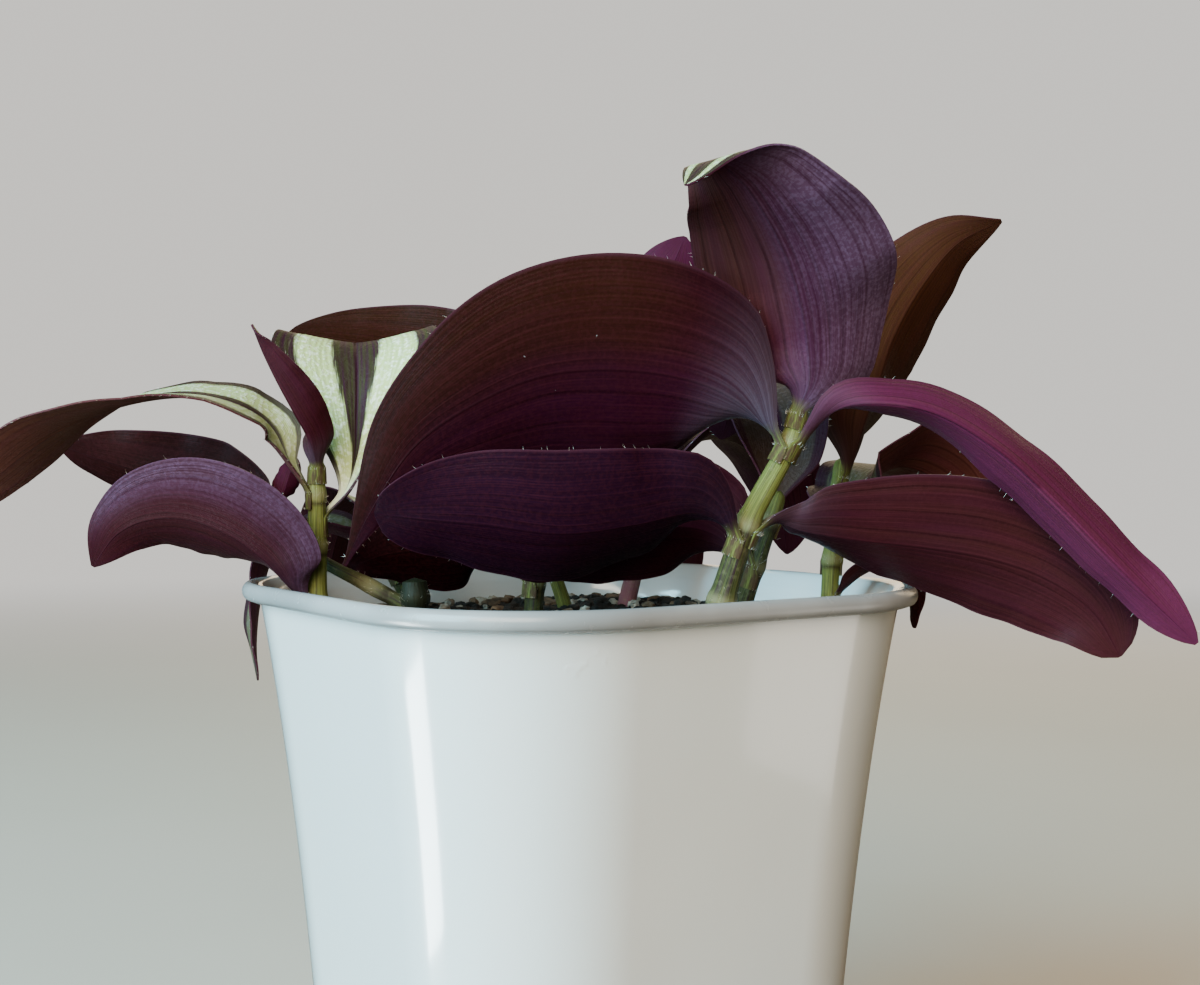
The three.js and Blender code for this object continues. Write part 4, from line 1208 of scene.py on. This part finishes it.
soilHalf = makeSoil()
for seed, (name, bits) in enumerate(soilBits.items(), start=1):
    template = lumpTemplate(seed, bits['jitter'])
    piece = joinedCopies(name, template, bitPlaces(bits, soilHalf))
    piece.data.materials.append(soilMaterial(name.split('.')[1], bits['tones'], 500.0))
    standIn(piece, 'potting_soil')
print('soil made')


# Floor, lights and camera

studio = {
    'pale': (0.9, 0.87, 0.82),  # the colour that the floor and the air behind it fade into
    'floor': (0.52, 0.48, 0.42),
    'floorPale': (0.56, 0.52, 0.46),
    'thrown': (0.1, 0.072, 0.042),  # the warm light that the floor throws back
    'fade': (0.45, 1.7),  # where the floor fades, in metres from the pot
    'airGlow': 0.08,
    'eye': (4.9, -277.7, 127.9),
    'pitchDown': 0.72,
    'lens': 45.0,
}


def shownBy(output, share, first, second):
    # Light passes to the second shader by its share
    tree = share.id_data
    both = addNode(tree, 'ShaderNodeMixShader', {0: share, 1: first, 2: second})
    fill(tree.nodes[output].inputs['Surface'], both.outputs[0])


def makeFloor():
    floor = newPrimitive('floor', bpy.ops.mesh.primitive_plane_add, size=40)
    material, shader, spot = newMaterial('paleFloor')
    tree = material.node_tree
    seen = addNode(tree, 'ShaderNodeLightPath').outputs['Is Camera Ray']
    shown = layered(studio, 'floor', (noise(spot, 6.0), 'floorPale'))
    dress(shader, layered(studio, 'thrown', (seen, shown)), 0.65)
    away = addNode(tree, 'ShaderNodeVectorMath', {0: spot}, operation='LENGTH').outputs['Value']
    glow = addNode(tree, 'ShaderNodeEmission', {'Color': studio['pale']}).outputs[0]
    shownBy('Material Output', times(ramped(away, *studio['fade']), seen),
            tree.nodes['Principled BSDF'].outputs[0], glow)
    floor.data.materials.append(material)
    floor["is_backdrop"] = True


def addSoftLight(name, spot, size, power, colour, aim=(0, 0, 110), glossOnly=False):
    light = bpy.data.lights.new(name, 'AREA')
    light.shape = 'RECTANGLE'
    light.size, light.size_y = size
    light.energy = power
    light.color = colour
    lamp = bpy.data.objects.new(name, light)
    lamp.location = Vector(turned(spot)) * mm
    lamp.rotation_euler = (Vector(turned(aim)) * mm - lamp.location).to_track_quat('-Z', 'Y').to_euler()
    lamp.visible_camera = False
    lamp.visible_diffuse = not glossOnly
    bpy.context.collection.objects.link(lamp)


def makeLights():
    addSoftLight('windowLeft', (-950, -650, 420), (0.8, 1.4), 70, (0.4, 0.82, 1.0))
    addSoftLight('frontSoft', (-300, -1200, 620), (0.9, 0.9), 30, (1.0, 0.87, 0.7))
    addSoftLight('roomRight', (1050, -350, 300), (0.8, 1.1), 1.0, (1.0, 0.7, 0.4))
    addSoftLight('backGlow', (300, 950, 650), (1.4, 1.0), 9, (1.0, 0.78, 0.5))
    # low boxes that only show as upright streaks of gloss on the pot's rounded corners
    addSoftLight('streakLeft', (-125, -58, 31), (0.034, 0.058), 0.22, (0.88, 0.97, 1.0), (0, -58, 31), True)
    addSoftLight('streakRight', (230, -50, 40), (0.07, 0.08), 0.04, (1.0, 0.93, 0.86), (0, -30, 40), True)
    world = bpy.data.worlds.new('softRoom')
    bpy.context.scene.world = world
    world.use_nodes = True
    tree = world.node_tree
    air = tree.nodes['Background']
    fill(air.inputs['Color'], studio['pale'])
    fill(air.inputs['Strength'], studio['airGlow'])
    behind = addNode(tree, 'ShaderNodeBackground', {'Color': studio['pale'], 'Strength': 1.0})
    seen = addNode(tree, 'ShaderNodeLightPath').outputs['Is Camera Ray']
    shownBy('World Output', seen, air.outputs[0], behind.outputs[0])


def makeCamera():
    camera = bpy.data.cameras.new('photoCamera')
    camera.sensor_width = 36
    camera.lens = studio['lens']
    camera.clip_start = 0.01
    holder = bpy.data.objects.new('photoCamera', camera)
    holder.location = Vector(turned(studio['eye'])) * mm
    holder.rotation_euler = (math.radians(90 - studio['pitchDown']), 0, plantTurn)
    bpy.context.collection.objects.link(holder)
    bpy.context.scene.camera = holder


makeFloor()
makeLights()
makeCamera()
print('floor, lights and camera made')

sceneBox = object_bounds()
boxes = {'cad': cadBox, 'visual': sceneBox}
{kind: [list(corner) for corner in box] for kind, box in boxes.items()}
